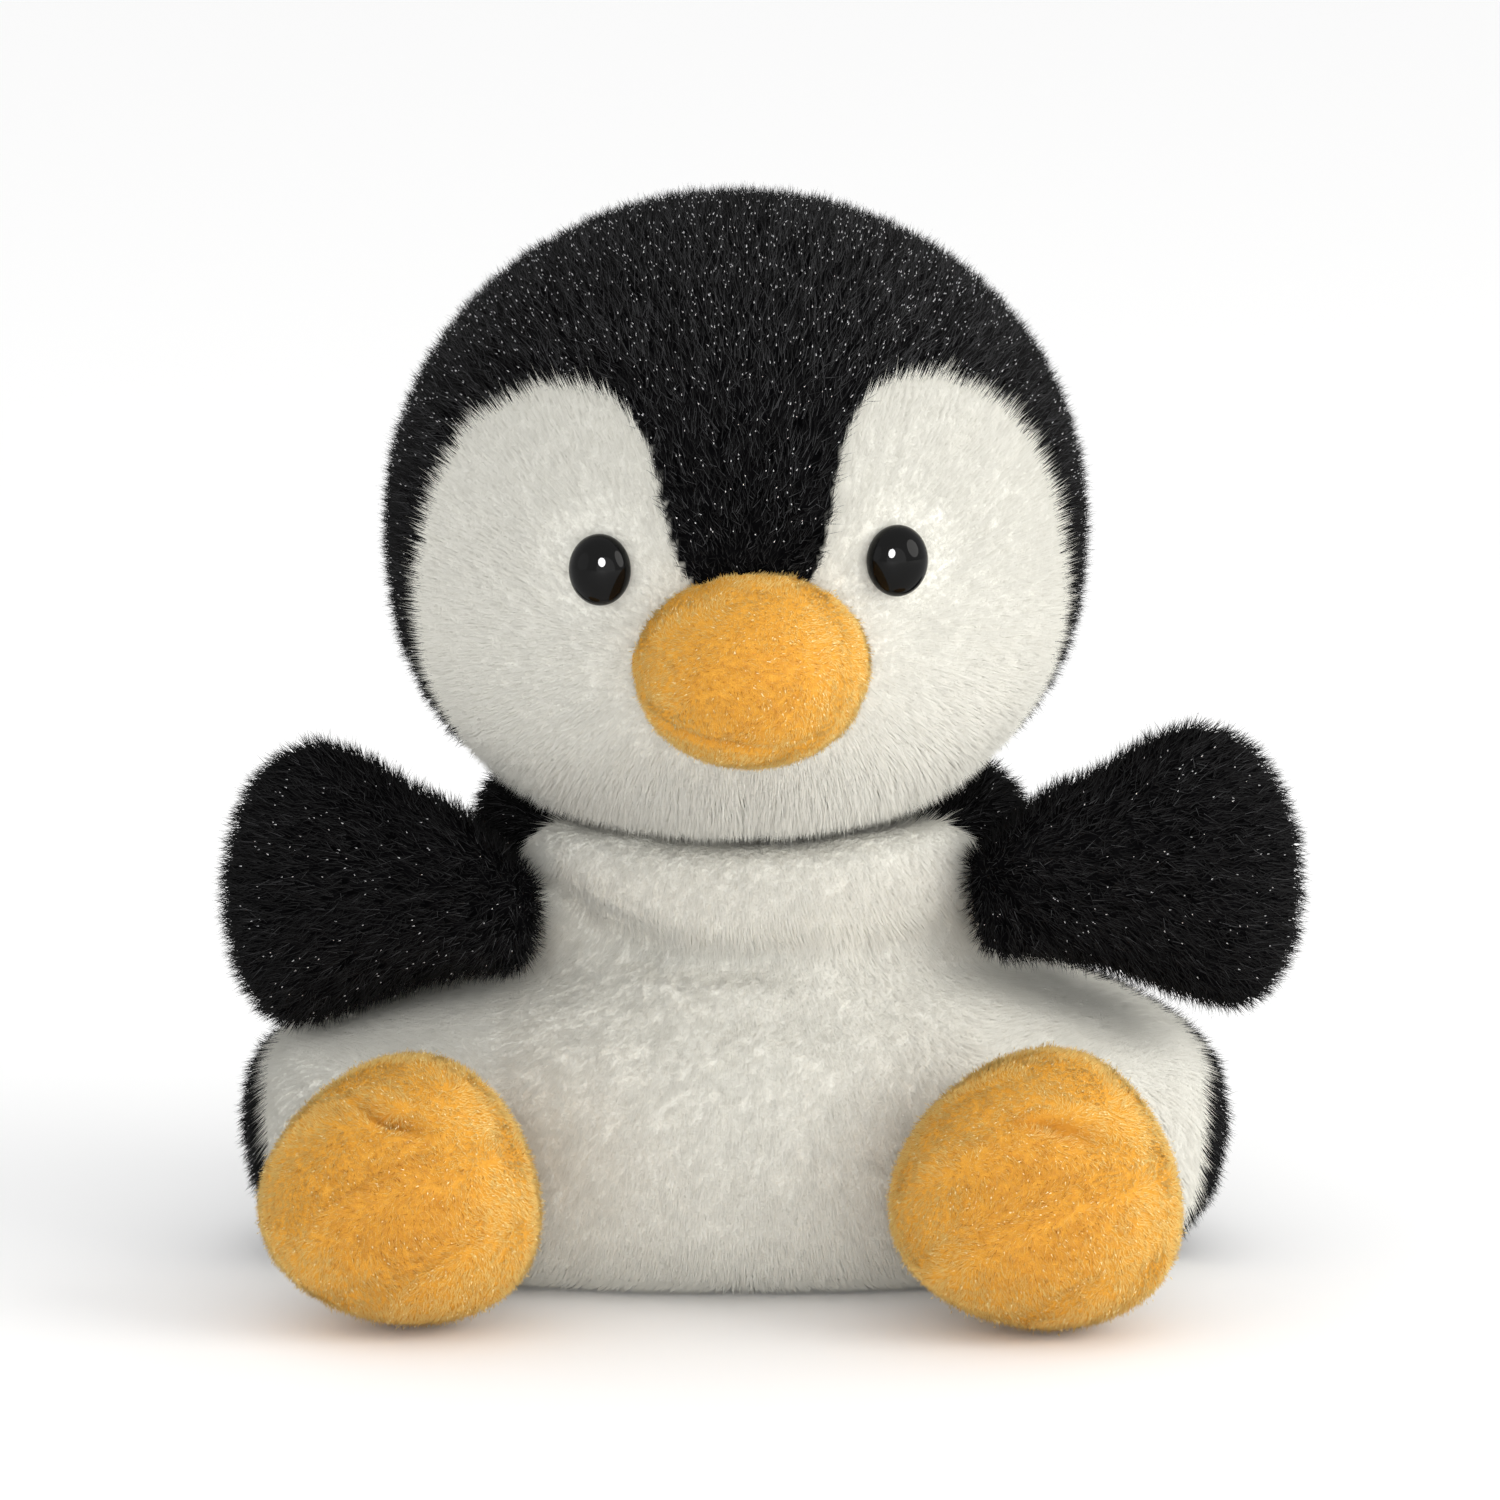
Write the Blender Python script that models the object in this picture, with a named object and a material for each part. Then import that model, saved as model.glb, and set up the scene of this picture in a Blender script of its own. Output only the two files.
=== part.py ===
"""Seated plush penguin: a sewn head, bean-filled body, two flippers and two feet.

Every cloth panel is a shell of its own with seam gaps, closed over separate fillings.
Lengths are metres. +Z is up and the penguin faces -Y.
"""
import bmesh
import bpy
import numpy as np

MM = 0.001
CLOTH = 1.6 * MM
GAP = 0.3 * MM
SEAM_INSET = 0.4 * MM
FILL_GAP = 0.75 * MM
STEPS_PER_SEAM_SPAN = 2

HEAD_HALF_WIDTH = 39.5 * MM
HEAD_HALF_DEPTH = 36.8 * MM
HEAD_HALF_HEIGHT = 36.6 * MM
HEAD_TOP_POWER = 2.0
HEAD_CHEEK_POWER = 2.6
NECK_PIVOT = (0.3 * MM, 0.0, 52.0 * MM)
HEAD_CENTRE_ABOVE_PIVOT = 35.3 * MM
HEAD_TURN_REST = np.radians(2.6)
HEAD_ROLL_REST = np.radians(-1.3)
NECK_OPENING_RADIUS = 13.0 * MM
# Neck pad, radius and height in millimetres.
NECK_PAD_PROFILE = [(7.0, 47.4), (8.4, 48.2), (8.0, 49.5), (3.5, 49.8)]

# Seam outlines on the head, right half, from the head's centre in millimetres.
FACE_TOP = (22.0, "front", 18.8)
FACE_INNER_SEAM = [
    (14.8, "front", 18.0),
    (11.0, "front", 12.6),
    (9.4, "front", 5.8),
    (8.0, "front", 0.0),
    (4.6, "front", -5.0),
    (0.9, "front", -9.0),
]
CHIN_SEAM = [(0.0, "front", -18.5), (0.0, "front", -28.0)]
FACE_OUTER_SEAM = [
    (29.6, "front", 14.4),
    (33.4, "front", 9.0),
    (35.8, "front", 1.8),
    (36.9, "front", -7.3),
    (35.5, "front", -17.0),
    (30.9, "front", -24.8),
    (22.5, "front", -31.0),
]
CHEEK_END = (15.0, "front", -34.0)
CROWN_SEAM = [
    (21.4, -15.0, 27.0),
    (20.8, -4.0, 31.0),
    (19.6, 8.0, 31.4),
    (17.5, 20.5, 26.0),
    (14.0, 30.0, 15.5),
    (10.8, 34.5, 3.0),
    (8.2, 34.5, -10.5),
    (5.4, 27.0, -24.5),
]
FACE_NECK_ANGLE = np.radians(60.0)
NAPE_NECK_ANGLE = np.radians(168.0)

EYE_X = 16.5 * MM
EYE_Z = -0.5 * MM
EYE_HALF_WIDTH = 3.4 * MM
EYE_HALF_HEIGHT = 3.95 * MM
EYE_DOME = 2.5 * MM
EYE_STEM_RADIUS = 1.3 * MM
EYE_STEM_HOLE_RADIUS = 1.75 * MM
WASHER_RADIUS = 4.6 * MM
WASHER_THICKNESS = 1.1 * MM

BEAK_CENTRE_Z = -11.8 * MM
BEAK_HALF_WIDTH = 13.6 * MM
BEAK_HALF_HEIGHT = 11.4 * MM
BEAK_LENGTH = 13.0 * MM
BEAK_TIP_DROP = 2.4 * MM
BEAK_MOUTH_ANGLE = np.radians(24.0)

# Body outline rings in millimetres: height at the front, half width, front depth,
# back depth, centre x, and how much higher the ring is at the sides and back.
BODY_RINGS = [
    (0.0, 47.0, 21.0, 29.0, -0.5, 0.0),
    (2.4, 52.0, 26.8, 33.5, -0.6, 0.0),
    (8.0, 56.0, 31.2, 37.0, -0.6, 0.0),
    (16.0, 57.3, 33.2, 38.5, -0.6, 0.0),
    (22.5, 56.0, 32.6, 38.0, -0.5, 0.0),
    (27.5, 51.5, 30.6, 36.5, -0.3, -1.0),
    (31.5, 45.0, 28.0, 34.5, 0.0, -2.0),
    (34.6, 37.6, 26.0, 32.0, 0.5, -2.5),
    (36.6, 32.0, 23.6, 29.5, 1.0, -1.8),
    (38.0, 29.8, 22.4, 28.0, 1.3, -1.0),
    (40.6, 30.2, 22.8, 27.5, 1.5, 0.5),
    (44.6, 32.4, 24.6, 27.5, 1.5, 2.4),
    (48.2, 31.8, 24.0, 27.0, 1.3, 4.6),
    (50.4, 28.8, 21.4, 24.5, 1.0, 6.2),
    (50.6, 24.3, 18.2, 20.5, 0.6, 3.8),
    (49.2, 19.5, 14.6, 16.0, 0.4, 1.4),
]
BODY_LOW_RINGS = 5
BODY_SHOULDER_RING = 12
RISE_POWER = 1.5
BODY_CENTRE_Y = 4.0 * MM
# Angle of the side seams from the front at each body ring: the white belly cloth
# covers the top of the hips, the black back cloth covers the shoulders.
SIDE_SEAM_DEGREES = [80, 76, 73, 72, 76, 85, 92, 93, 90, 86, 79, 69, 61, 57, 56, 56]
BASE_INSET = 2.4 * MM
BAG_HEIGHT = 21.0 * MM
BAG_WALL = 0.8 * MM
BAG_MOUTH = 0.16

# Flipper outline in millimetres, outward from the shoulder seam and up.
WING_OUTLINE = [
    (0.2, 8.6),
    (7.6, 10.6),
    (14.5, 12.2),
    (20.5, 15.4),
    (26.5, 17.2),
    (32.2, 14.8),
    (36.2, 8.6),
    (37.8, 0.6),
    (37.2, -7.2),
    (34.8, -12.9),
    (30.3, -15.8),
    (23.0, -13.4),
    (14.5, -9.8),
    (6.5, -7.8),
    (0.4, -6.4),
]
WING_CENTRE = (21.0, 0.6)
WING_HALF_THICKNESS = 6.4 * MM
WING_LEFT_PIVOT = (-23.6 * MM, -16.4 * MM, 44.6 * MM)
WING_RIGHT_PIVOT = (26.6 * MM, -15.4 * MM, 46.3 * MM)
WING_LEFT_SWEEP = np.radians(21.0)
WING_RIGHT_SWEEP = np.radians(9.0)
WING_LEFT_LIFT = np.radians(0.0)
WING_RIGHT_LIFT = np.radians(2.5)

FOOT_LEFT_HALF_WIDTH = 15.8 * MM
FOOT_RIGHT_HALF_WIDTH = 16.4 * MM
FOOT_HEIGHT_RATIO = 0.97
FOOT_SOLE_DEPTH = 12.3 * MM
FOOT_HEEL_DEPTH = 13.0 * MM
FOOT_LEFT_PIVOT = (-36.7 * MM, -23.9 * MM, 14.8 * MM)
FOOT_RIGHT_PIVOT = (31.6 * MM, -25.4 * MM, 15.2 * MM)
FOOT_LEFT_SPLAY = np.radians(-7.0)
FOOT_RIGHT_SPLAY = np.radians(7.0)
FOOT_TIP = np.radians(-6.0)

BLACK = (0.02, 0.02, 0.024)
WHITE = (0.80, 0.79, 0.75)
ORANGE = (0.84, 0.42, 0.08)
FIBRE = (0.86, 0.86, 0.84)


def clear_scene():
    for ob in list(bpy.data.objects):
        bpy.data.objects.remove(ob, do_unlink=True)


def new_material(name, colour, roughness):
    mat = bpy.data.materials.new(name)
    mat.use_nodes = True
    shader = mat.node_tree.nodes["Principled BSDF"]
    shader.inputs["Base Color"].default_value = (*colour, 1.0)
    shader.inputs["Roughness"].default_value = roughness
    return mat


def empty_at(name, location, rotation, parent=None):
    pivot = bpy.data.objects.new(name, None)
    bpy.context.scene.collection.objects.link(pivot)
    pivot.empty_display_size = 0.01
    pivot.parent = parent
    pivot.location = location
    pivot.rotation_euler = rotation
    return pivot


def solid(name, points, faces, mat, parent=None):
    """One closed mesh object, with its repeated points joined and its faces turned out."""
    mesh = bpy.data.meshes.new(name)
    mesh.from_pydata([tuple(p) for p in points], [], [tuple(f) for f in faces])
    bm = bmesh.new()
    bm.from_mesh(mesh)
    bmesh.ops.remove_doubles(bm, verts=bm.verts, dist=0.00001)
    bmesh.ops.dissolve_degenerate(bm, dist=0.00001, edges=bm.edges)
    bmesh.ops.recalc_face_normals(bm, faces=bm.faces)
    if bm.calc_volume(signed=True) < 0:
        bmesh.ops.reverse_faces(bm, faces=bm.faces)
    bm.to_mesh(mesh)
    bm.free()
    mesh.polygons.foreach_set("use_smooth", [True] * len(mesh.polygons))
    mesh.materials.append(mat)
    ob = bpy.data.objects.new(name, mesh)
    bpy.context.scene.collection.objects.link(ob)
    ob.parent = parent
    return ob


def grid_faces(rows, columns, offset, flip, wrap=False):
    faces = []
    last = columns if wrap else columns - 1
    for i in range(rows - 1):
        for j in range(last):
            k = (j + 1) % columns
            a = offset + i * columns + j
            b = offset + i * columns + k
            c = offset + (i + 1) * columns + k
            d = offset + (i + 1) * columns + j
            faces.append((a, d, c, b) if flip else (a, b, c, d))
    return faces


def shell_between(outer, inner):
    """Faces of a sheet with an outer grid, an inner grid and four edge walls."""
    rows, columns = outer.shape[:2]
    n = rows * columns
    points = np.concatenate([outer.reshape(-1, 3), inner.reshape(-1, 3)])
    faces = grid_faces(rows, columns, 0, False) + grid_faces(rows, columns, n, True)
    rim = [i * columns for i in range(rows)]
    rim += [(rows - 1) * columns + j for j in range(1, columns)]
    rim += [i * columns + columns - 1 for i in range(rows - 2, -1, -1)]
    rim += [j for j in range(columns - 2, 0, -1)]
    for i, a in enumerate(rim):
        b = rim[(i + 1) % len(rim)]
        faces.append((a, b, b + n, a + n))
    return points, faces


def ring_stack(rings, close_start=True, close_end=True):
    """A skin over a list of equal rings, closed with a centre point at each end."""
    rings = np.array(rings)
    rows, columns = rings.shape[:2]
    points = [p for p in rings.reshape(-1, 3)]
    faces = grid_faces(rows, columns, 0, False, wrap=True)
    for close, row in ((close_start, 0), (close_end, rows - 1)):
        if not close:
            continue
        centre = len(points)
        points.append(rings[row].mean(axis=0))
        for j in range(columns):
            a = row * columns + j
            b = row * columns + (j + 1) % columns
            faces.append((centre, b, a) if row == 0 else (centre, a, b))
    return points, faces


def catmull_rom(control, steps, closed=False):
    control = np.array(control, float)
    count = len(control)
    spans = count if closed else count - 1
    result = []
    for i in range(spans):
        p0 = control[(i - 1) % count] if closed or i > 0 else 2 * control[0] - control[1]
        p1 = control[i]
        p2 = control[(i + 1) % count]
        if closed or i + 2 < count:
            p3 = control[(i + 2) % count]
        else:
            p3 = 2 * control[-1] - control[-2]
        for k in range(steps):
            t = k / steps
            a = 2 * p1 + (p2 - p0) * t
            b = (2 * p0 - 5 * p1 + 4 * p2 - p3) * t * t
            c = (3 * p1 - p0 - 3 * p2 + p3) * t * t * t
            result.append((a + b + c) / 2)
    if not closed:
        result.append(control[-1])
    return np.array(result)


def cut(target, cutter):
    """Subtract a cutter from a target and hide the cutter."""
    cutter.hide_render = True
    cutter.display_type = "WIRE"
    mod = target.modifiers.new("cut_" + cutter.name, "BOOLEAN")
    mod.operation = "DIFFERENCE"
    mod.solver = "EXACT"
    mod.object = cutter


def round_profile(name, profile, mat, parent, columns=16, stretch=(1.0, 1.0)):
    """A turned piece about its local -Y axis from (radius, height) pairs."""
    angles = np.linspace(0, 2 * np.pi, columns, endpoint=False)
    rings = []
    for radius, height in profile:
        x = radius * stretch[0] * np.cos(angles)
        z = radius * stretch[1] * np.sin(angles)
        rings.append(np.stack([x, np.full(columns, -height), z], axis=1))
    points, faces = ring_stack(rings)
    return solid(name, points, faces, mat, parent)


# ---------------------------------------------------------------- head

def head_value(p):
    """1 on the head's cloth surface, less inside."""
    power = np.where(p[..., 2] > 0, HEAD_TOP_POWER, HEAD_CHEEK_POWER)
    flat = (p[..., 0] / HEAD_HALF_WIDTH) ** 2 + (p[..., 1] / HEAD_HALF_DEPTH) ** 2
    return flat + np.abs(p[..., 2] / HEAD_HALF_HEIGHT) ** power


def head_project(directions):
    """Points on the head's surface along each direction from its centre."""
    d = directions / np.linalg.norm(directions, axis=-1, keepdims=True)
    low = np.full(d.shape[:-1], 20 * MM)
    high = np.full(d.shape[:-1], 60 * MM)
    for _ in range(40):
        middle = (low + high) / 2
        inside = head_value(d * middle[..., None]) < 1
        low = np.where(inside, middle, low)
        high = np.where(inside, high, middle)
    return d * low[..., None]


def head_normal(p):
    step = 0.01 * MM
    gradient = []
    for axis in range(3):
        shift = np.zeros(3)
        shift[axis] = step
        gradient.append(head_value(p + shift) - head_value(p - shift))
    n = np.stack(gradient, axis=-1)
    return n / np.linalg.norm(n, axis=-1, keepdims=True)


def front_y(x, z):
    power = np.where(z > 0, HEAD_TOP_POWER, HEAD_CHEEK_POWER)
    rest = 1 - (x / HEAD_HALF_WIDTH) ** 2 - np.abs(z / HEAD_HALF_HEIGHT) ** power
    return -HEAD_HALF_DEPTH * np.sqrt(np.clip(rest, 0, 1))


def seam_point(entry):
    x = entry[0] * MM
    z = entry[2] * MM
    y = float(front_y(x, z)) if entry[1] == "front" else entry[1] * MM
    return np.array([x, y, z])


def neck_point(angle):
    """A point of the neck opening, with the angle measured from the front."""
    x = NECK_OPENING_RADIUS * np.sin(angle)
    y = -NECK_OPENING_RADIUS * np.cos(angle)
    rest = 1 - (x / HEAD_HALF_WIDTH) ** 2 - (y / HEAD_HALF_DEPTH) ** 2
    return np.array([x, y, -HEAD_HALF_HEIGHT * rest ** (1 / HEAD_CHEEK_POWER)])


def seam_curve(points):
    return head_project(catmull_rom(points, STEPS_PER_SEAM_SPAN))


def blunt(curve):
    """The same seam starting just past its pointed corner."""
    start = curve[0] + 0.3 * (curve[1] - curve[0])
    return np.concatenate([[start], curve[1:]])


def head_panel(first, second, columns, neck_angles=None):
    """A cloth panel between two seams of equal point count, with its edges set in."""
    share = np.linspace(0, 1, columns)[None, :, None]
    start = first / np.linalg.norm(first, axis=1, keepdims=True)
    end = second / np.linalg.norm(second, axis=1, keepdims=True)
    swing = np.arccos(np.clip((start * end).sum(axis=1), -1, 0.999999))[:, None, None]
    blend = np.sin((1 - share) * swing) * start[:, None] + np.sin(share * swing) * end[:, None]
    outer = head_project(blend)
    if neck_angles:
        sweep = np.linspace(neck_angles[0], neck_angles[1], columns)
        outer[-1] = [neck_point(angle) for angle in sweep]
        outer[-2] = head_project((outer[-3] + outer[-1]) / 2)
        outer[-2, 0] = first[-2]
        outer[-2, -1] = second[-2]
    for edge, towards in ((0, 1), (-1, -2)):
        step = outer[:, towards] - outer[:, edge]
        length = np.linalg.norm(step, axis=-1, keepdims=True)
        outer[:, edge] += step / length * np.minimum(SEAM_INSET, length * 0.4)
    for edge, towards in ((0, 1), (-1, -2)):
        step = outer[towards] - outer[edge]
        length = np.linalg.norm(step, axis=-1, keepdims=True)
        outer[edge] += step / length * SEAM_INSET
    outer = head_project(outer)
    inner = outer - CLOTH * head_normal(outer)
    return shell_between(outer, inner)


def mirrored(points):
    return points * np.array([-1.0, 1.0, 1.0])


def build_head(head, black, white, orange, fibre, plastic, eye_mat):
    top = seam_point(FACE_TOP)
    inner_control = [seam_point(e) for e in FACE_INNER_SEAM]
    outer_control = [seam_point(e) for e in FACE_OUTER_SEAM]
    crown_control = [seam_point(e) for e in CROWN_SEAM]
    chin_control = [seam_point(e) for e in CHIN_SEAM]

    inner = seam_curve([top] + inner_control)
    chin = seam_curve([inner_control[-1]] + chin_control + [neck_point(0.0)])
    crown = seam_curve([top] + crown_control + [neck_point(NAPE_NECK_ANGLE)])
    outer_end = [seam_point(CHEEK_END), neck_point(FACE_NECK_ANGLE)]
    outer = seam_curve([top] + outer_control + outer_end)

    face_inner = np.concatenate([inner, chin[1:]])
    gusset_edge = np.concatenate([inner[::-1], crown[1:]])

    for side, turn, sign in (("right", lambda p: p, 1), ("left", mirrored, -1)):
        arc = (0.0, sign * FACE_NECK_ANGLE)
        points, faces = head_panel(turn(blunt(face_inner)), turn(blunt(outer)), 8, arc)
        solid("face_" + side, points, faces, white, head)
        arc = (sign * FACE_NECK_ANGLE, sign * NAPE_NECK_ANGLE)
        points, faces = head_panel(turn(blunt(outer)), turn(blunt(crown)), 13, arc)
        solid("head_side_" + side, points, faces, black, head)
    points, faces = head_panel(gusset_edge, mirrored(gusset_edge), 6)
    solid("head_crown_gusset", points, faces, black, head)

    columns = 26
    angles = np.linspace(0, 2 * np.pi, columns, endpoint=False)
    rings = []
    for polar in np.radians([163, 149, 131, 113, 95, 77, 59, 41, 23, 9]):
        d = np.stack(
            [
                np.sin(polar) * np.cos(angles),
                np.sin(polar) * np.sin(angles),
                np.full(columns, np.cos(polar)),
            ],
            axis=1,
        )
        surface = head_project(d)
        rings.append(surface - (CLOTH + FILL_GAP) * head_normal(surface))
    points, faces = ring_stack(rings)
    filling = solid("head_stuffing", points, faces, fibre, head)

    for side, sign in (("left", -1), ("right", 1)):
        build_eye(side, sign, head, filling, eye_mat, plastic)
    build_beak(head, orange, fibre)


def build_eye(side, sign, head, filling, eye_mat, plastic):
    place = np.array([sign * EYE_X, front_y(EYE_X, np.array(EYE_Z)), EYE_Z])
    normal = head_normal(place)
    turn = np.arctan2(normal[0], -normal[1])
    seat = empty_at("eye_seat_" + side, place, (0.0, 0.0, turn), head)
    stretch = (1.0, EYE_HALF_HEIGHT / EYE_HALF_WIDTH)
    low = 0.45 * MM
    profile = [
        (EYE_STEM_RADIUS, -6.0 * MM),
        (EYE_STEM_RADIUS, low),
        (EYE_HALF_WIDTH, low),
    ]
    for step in (0.3, 0.6, 0.85):
        swing = step * np.pi / 2
        profile.append((EYE_HALF_WIDTH * np.cos(swing), low + 0.5 * MM + EYE_DOME * np.sin(swing)))
    round_profile("eye_" + side, profile, eye_mat, seat, 18, stretch)

    hole = round_profile(
        "eye_hole_" + side,
        [(EYE_STEM_HOLE_RADIUS, -5.0 * MM), (EYE_STEM_HOLE_RADIUS, 3.0 * MM)],
        plastic,
        seat,
        12,
    )
    cut(bpy.data.objects["face_" + side], hole)
    pocket = round_profile(
        "eye_pocket_" + side,
        [(WASHER_RADIUS + 0.7 * MM, -7.5 * MM), (WASHER_RADIUS + 0.7 * MM, 3.0 * MM)],
        plastic,
        seat,
        12,
    )
    cut(filling, pocket)

    washer = round_profile(
        "eye_washer_" + side,
        [(WASHER_RADIUS, -3.7 * MM), (WASHER_RADIUS, -3.7 * MM + WASHER_THICKNESS)],
        plastic,
        seat,
    )
    bore = round_profile(
        "washer_bore_" + side,
        [(EYE_STEM_RADIUS + GAP, -6.0 * MM), (EYE_STEM_RADIUS + GAP, 3.0 * MM)],
        plastic,
        seat,
        12,
    )
    cut(washer, bore)


def beak_point(share, angle, scale, length, rise):
    """A beak point; share runs from 0 at the tip to 1 at the sewn edge."""
    x = BEAK_HALF_WIDTH * scale * share * np.cos(angle)
    drop = BEAK_TIP_DROP * (1 - share**2)
    z = BEAK_CENTRE_Z - drop + BEAK_HALF_HEIGHT * scale * share * np.sin(angle)
    y = front_y(x, z) - rise - length * np.sqrt(np.clip(1 - share**2.2, 0, 1))
    return np.stack([x, y, z], axis=-1)


def build_beak(head, orange, fibre):
    shares = np.array([0.06, 0.3, 0.52, 0.7, 0.84, 0.94, 1.0])
    inner_scale = 1 - CLOTH / BEAK_HALF_HEIGHT
    spans = {
        "beak_upper": (-BEAK_MOUTH_ANGLE, np.pi + BEAK_MOUTH_ANGLE, 15, 0.0),
        "beak_lower": (np.pi + BEAK_MOUTH_ANGLE, 2 * np.pi - BEAK_MOUTH_ANGLE, 9, -0.42 * MM),
    }
    for name, (start, end, columns, shift) in spans.items():
        angles = np.linspace(start, end, columns)
        s, a = np.meshgrid(shares, angles, indexing="ij")
        outer = beak_point(s, a, 1.0, BEAK_LENGTH, 0.4 * MM)
        inner = beak_point(s, a, inner_scale, BEAK_LENGTH - CLOTH, 0.4 * MM)
        outer[..., 2] += shift
        inner[..., 2] += shift
        points, faces = shell_between(outer, inner)
        solid(name, points, faces, orange, head)

    columns = 20
    angles = np.linspace(0, 2 * np.pi, columns, endpoint=False)
    fill_scale = inner_scale - 0.09
    rings = []
    for share in (0.3, 0.55, 0.75, 0.9, 1.0):
        rings.append(beak_point(np.full(columns, share), angles, fill_scale, 8.8 * MM, 0.8 * MM))
    for share in (0.75, 0.4):
        rings.append(beak_point(np.full(columns, share), angles, fill_scale, 0.0, 0.55 * MM))
    points, faces = ring_stack(rings)
    solid("beak_stuffing", points, faces, fibre, head)


# ---------------------------------------------------------------- body

def body_rings(steps):
    return catmull_rom(BODY_RINGS, steps) * MM


def ring_point(ring, angle, trim=0.0):
    """A point of a body ring, with the angle from the front towards +X."""
    height, half, front, back, centre, rise = ring
    depth = np.where(np.cos(angle) > 0, front, back) - trim
    x = centre + (half - trim) * np.sin(angle)
    y = BODY_CENTRE_Y - depth * np.cos(angle)
    z = height + rise * (1 - np.maximum(np.cos(angle), 0) ** RISE_POWER)
    return np.stack([x, y, z], axis=-1)


def body_surface(rings, angles):
    angles = np.broadcast_to(angles, (len(rings), np.shape(angles)[-1]))
    return np.array([ring_point(ring, row) for ring, row in zip(rings, angles)])


def body_normals(rings, angles):
    small = 0.001
    around = body_surface(rings, angles + small) - body_surface(rings, angles - small)
    points = body_surface(rings, angles)
    along = np.gradient(points, axis=0)
    n = np.cross(around, along)
    return n / np.linalg.norm(n, axis=-1, keepdims=True)


def body_panel(start, end, columns):
    """A body panel between two seams, each given as one angle per ring."""
    rings = body_rings(1)
    share = np.linspace(0, 1, columns)
    inset = SEAM_INSET / rings[:, 1:2]
    start = start[:, None]
    end = end[:, None]
    outer = body_surface(rings, (start + inset) * (1 - share) + (end - inset) * share)
    normals = body_normals(rings, start * (1 - share) + end * share)
    inner = outer - CLOTH * normals
    inner[..., 2] = np.maximum(inner[..., 2], 0.2 * MM)
    return shell_between(outer, inner)


def build_body(black, white, fibre, bag_mat, bean_mat):
    side = np.radians(SIDE_SEAM_DEGREES)
    spine = np.full_like(side, np.pi)
    spans = {
        "belly_panel": (-side, side, 16, white),
        "back_panel_right": (side, spine, 8, black),
        "back_panel_left": (spine, 2 * np.pi - side, 8, black),
    }
    for name, (start, end, columns, mat) in spans.items():
        points, faces = body_panel(start, end, columns)
        solid(name, points, faces, mat)

    columns = 26
    angles = np.linspace(0, 2 * np.pi, columns, endpoint=False)
    rings = body_rings(1)

    foot_ring = rings[0].copy()
    base = []
    for height in (0.0, CLOTH):
        foot_ring[0] = height
        base.append(ring_point(foot_ring, angles, BASE_INSET))
    points, faces = ring_stack(base)
    solid("base_panel", points, faces, white)

    full = body_surface(rings, angles) - (CLOTH + FILL_GAP) * body_normals(rings, angles)
    upper = full[BODY_LOW_RINGS:BODY_SHOULDER_RING]
    floor = upper[0].copy()
    floor[:, 2] = BAG_HEIGHT + 1.6 * MM
    points, faces = ring_stack(np.concatenate([[floor], upper]))
    solid("body_stuffing", points, faces, fibre)

    heights = np.array([3.0, 6.5, 11.0, 16.0, BAG_HEIGHT / MM - 1.0]) * MM
    table = body_rings(4)
    order = np.argsort(table[:, 0])
    sampled = []
    for height in heights:
        ring = [np.interp(height, table[order, 0], table[order, k]) for k in range(6)]
        trim = 2.7 * MM + 3.2 * MM * max(0.0, 1 - height / (8.0 * MM))
        sampled.append(ring_point(np.array(ring), angles, trim))
    sampled = np.array(sampled)
    centre = np.array([0.0, BODY_CENTRE_Y + 3.0 * MM, 0.0])

    def squeeze(ring, inset, z):
        middle = ring.mean(axis=0)
        reach = np.linalg.norm(ring - middle, axis=1, keepdims=True)
        moved = middle + (ring - middle) * (1 - inset / reach)
        moved[:, 2] = z
        return moved

    outer = [squeeze(sampled[0], 4.0 * MM, 2.3 * MM)]
    outer += [r for r in sampled]
    outer.append(squeeze(sampled[-1], 3.0 * MM, BAG_HEIGHT))
    mouth = sampled[-1] * BAG_MOUTH + centre * (1 - BAG_MOUTH)
    mouth[:, 2] = BAG_HEIGHT + 0.2 * MM
    outer.append(mouth)
    inner = [squeeze(mouth, 0.0, BAG_HEIGHT + 0.2 * MM - BAG_WALL)]
    inner.append(squeeze(sampled[-1], 3.6 * MM, BAG_HEIGHT - BAG_WALL))
    inner += [squeeze(r, BAG_WALL, r[0, 2]) for r in sampled[::-1]]
    inner[-1][:, 2] += 0.3 * MM
    inner.append(squeeze(sampled[0], 4.4 * MM, 2.3 * MM + BAG_WALL))
    points, faces = ring_stack(outer + inner)
    solid("pellet_bag", points, faces, bag_mat)

    beans = [squeeze(sampled[0], 5.6 * MM, 2.3 * MM + 2 * BAG_WALL)]
    beans += [squeeze(r, BAG_WALL + 0.6 * MM, r[0, 2] + 0.6 * MM) for r in sampled[:-1]]
    beans[1][:, 2] += 0.5 * MM
    beans.append(squeeze(sampled[-1], 7.0 * MM, BAG_HEIGHT - 2.2 * MM))
    points, faces = ring_stack(beans)
    solid("pellet_fill", points, faces, bean_mat)


def build_neck(neck, white):
    columns = 20
    angles = np.linspace(0, 2 * np.pi, columns, endpoint=False)
    rings = []
    for radius, height in NECK_PAD_PROFILE:
        x = radius * MM * np.sin(angles)
        y = -radius * MM * np.cos(angles)
        rings.append(np.stack([x, y, np.full(columns, height * MM - NECK_PIVOT[2])], axis=1))
    points, faces = ring_stack(rings)
    solid("neck_pad", points, faces, white, neck)


# ---------------------------------------------------------------- flippers and feet

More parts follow.
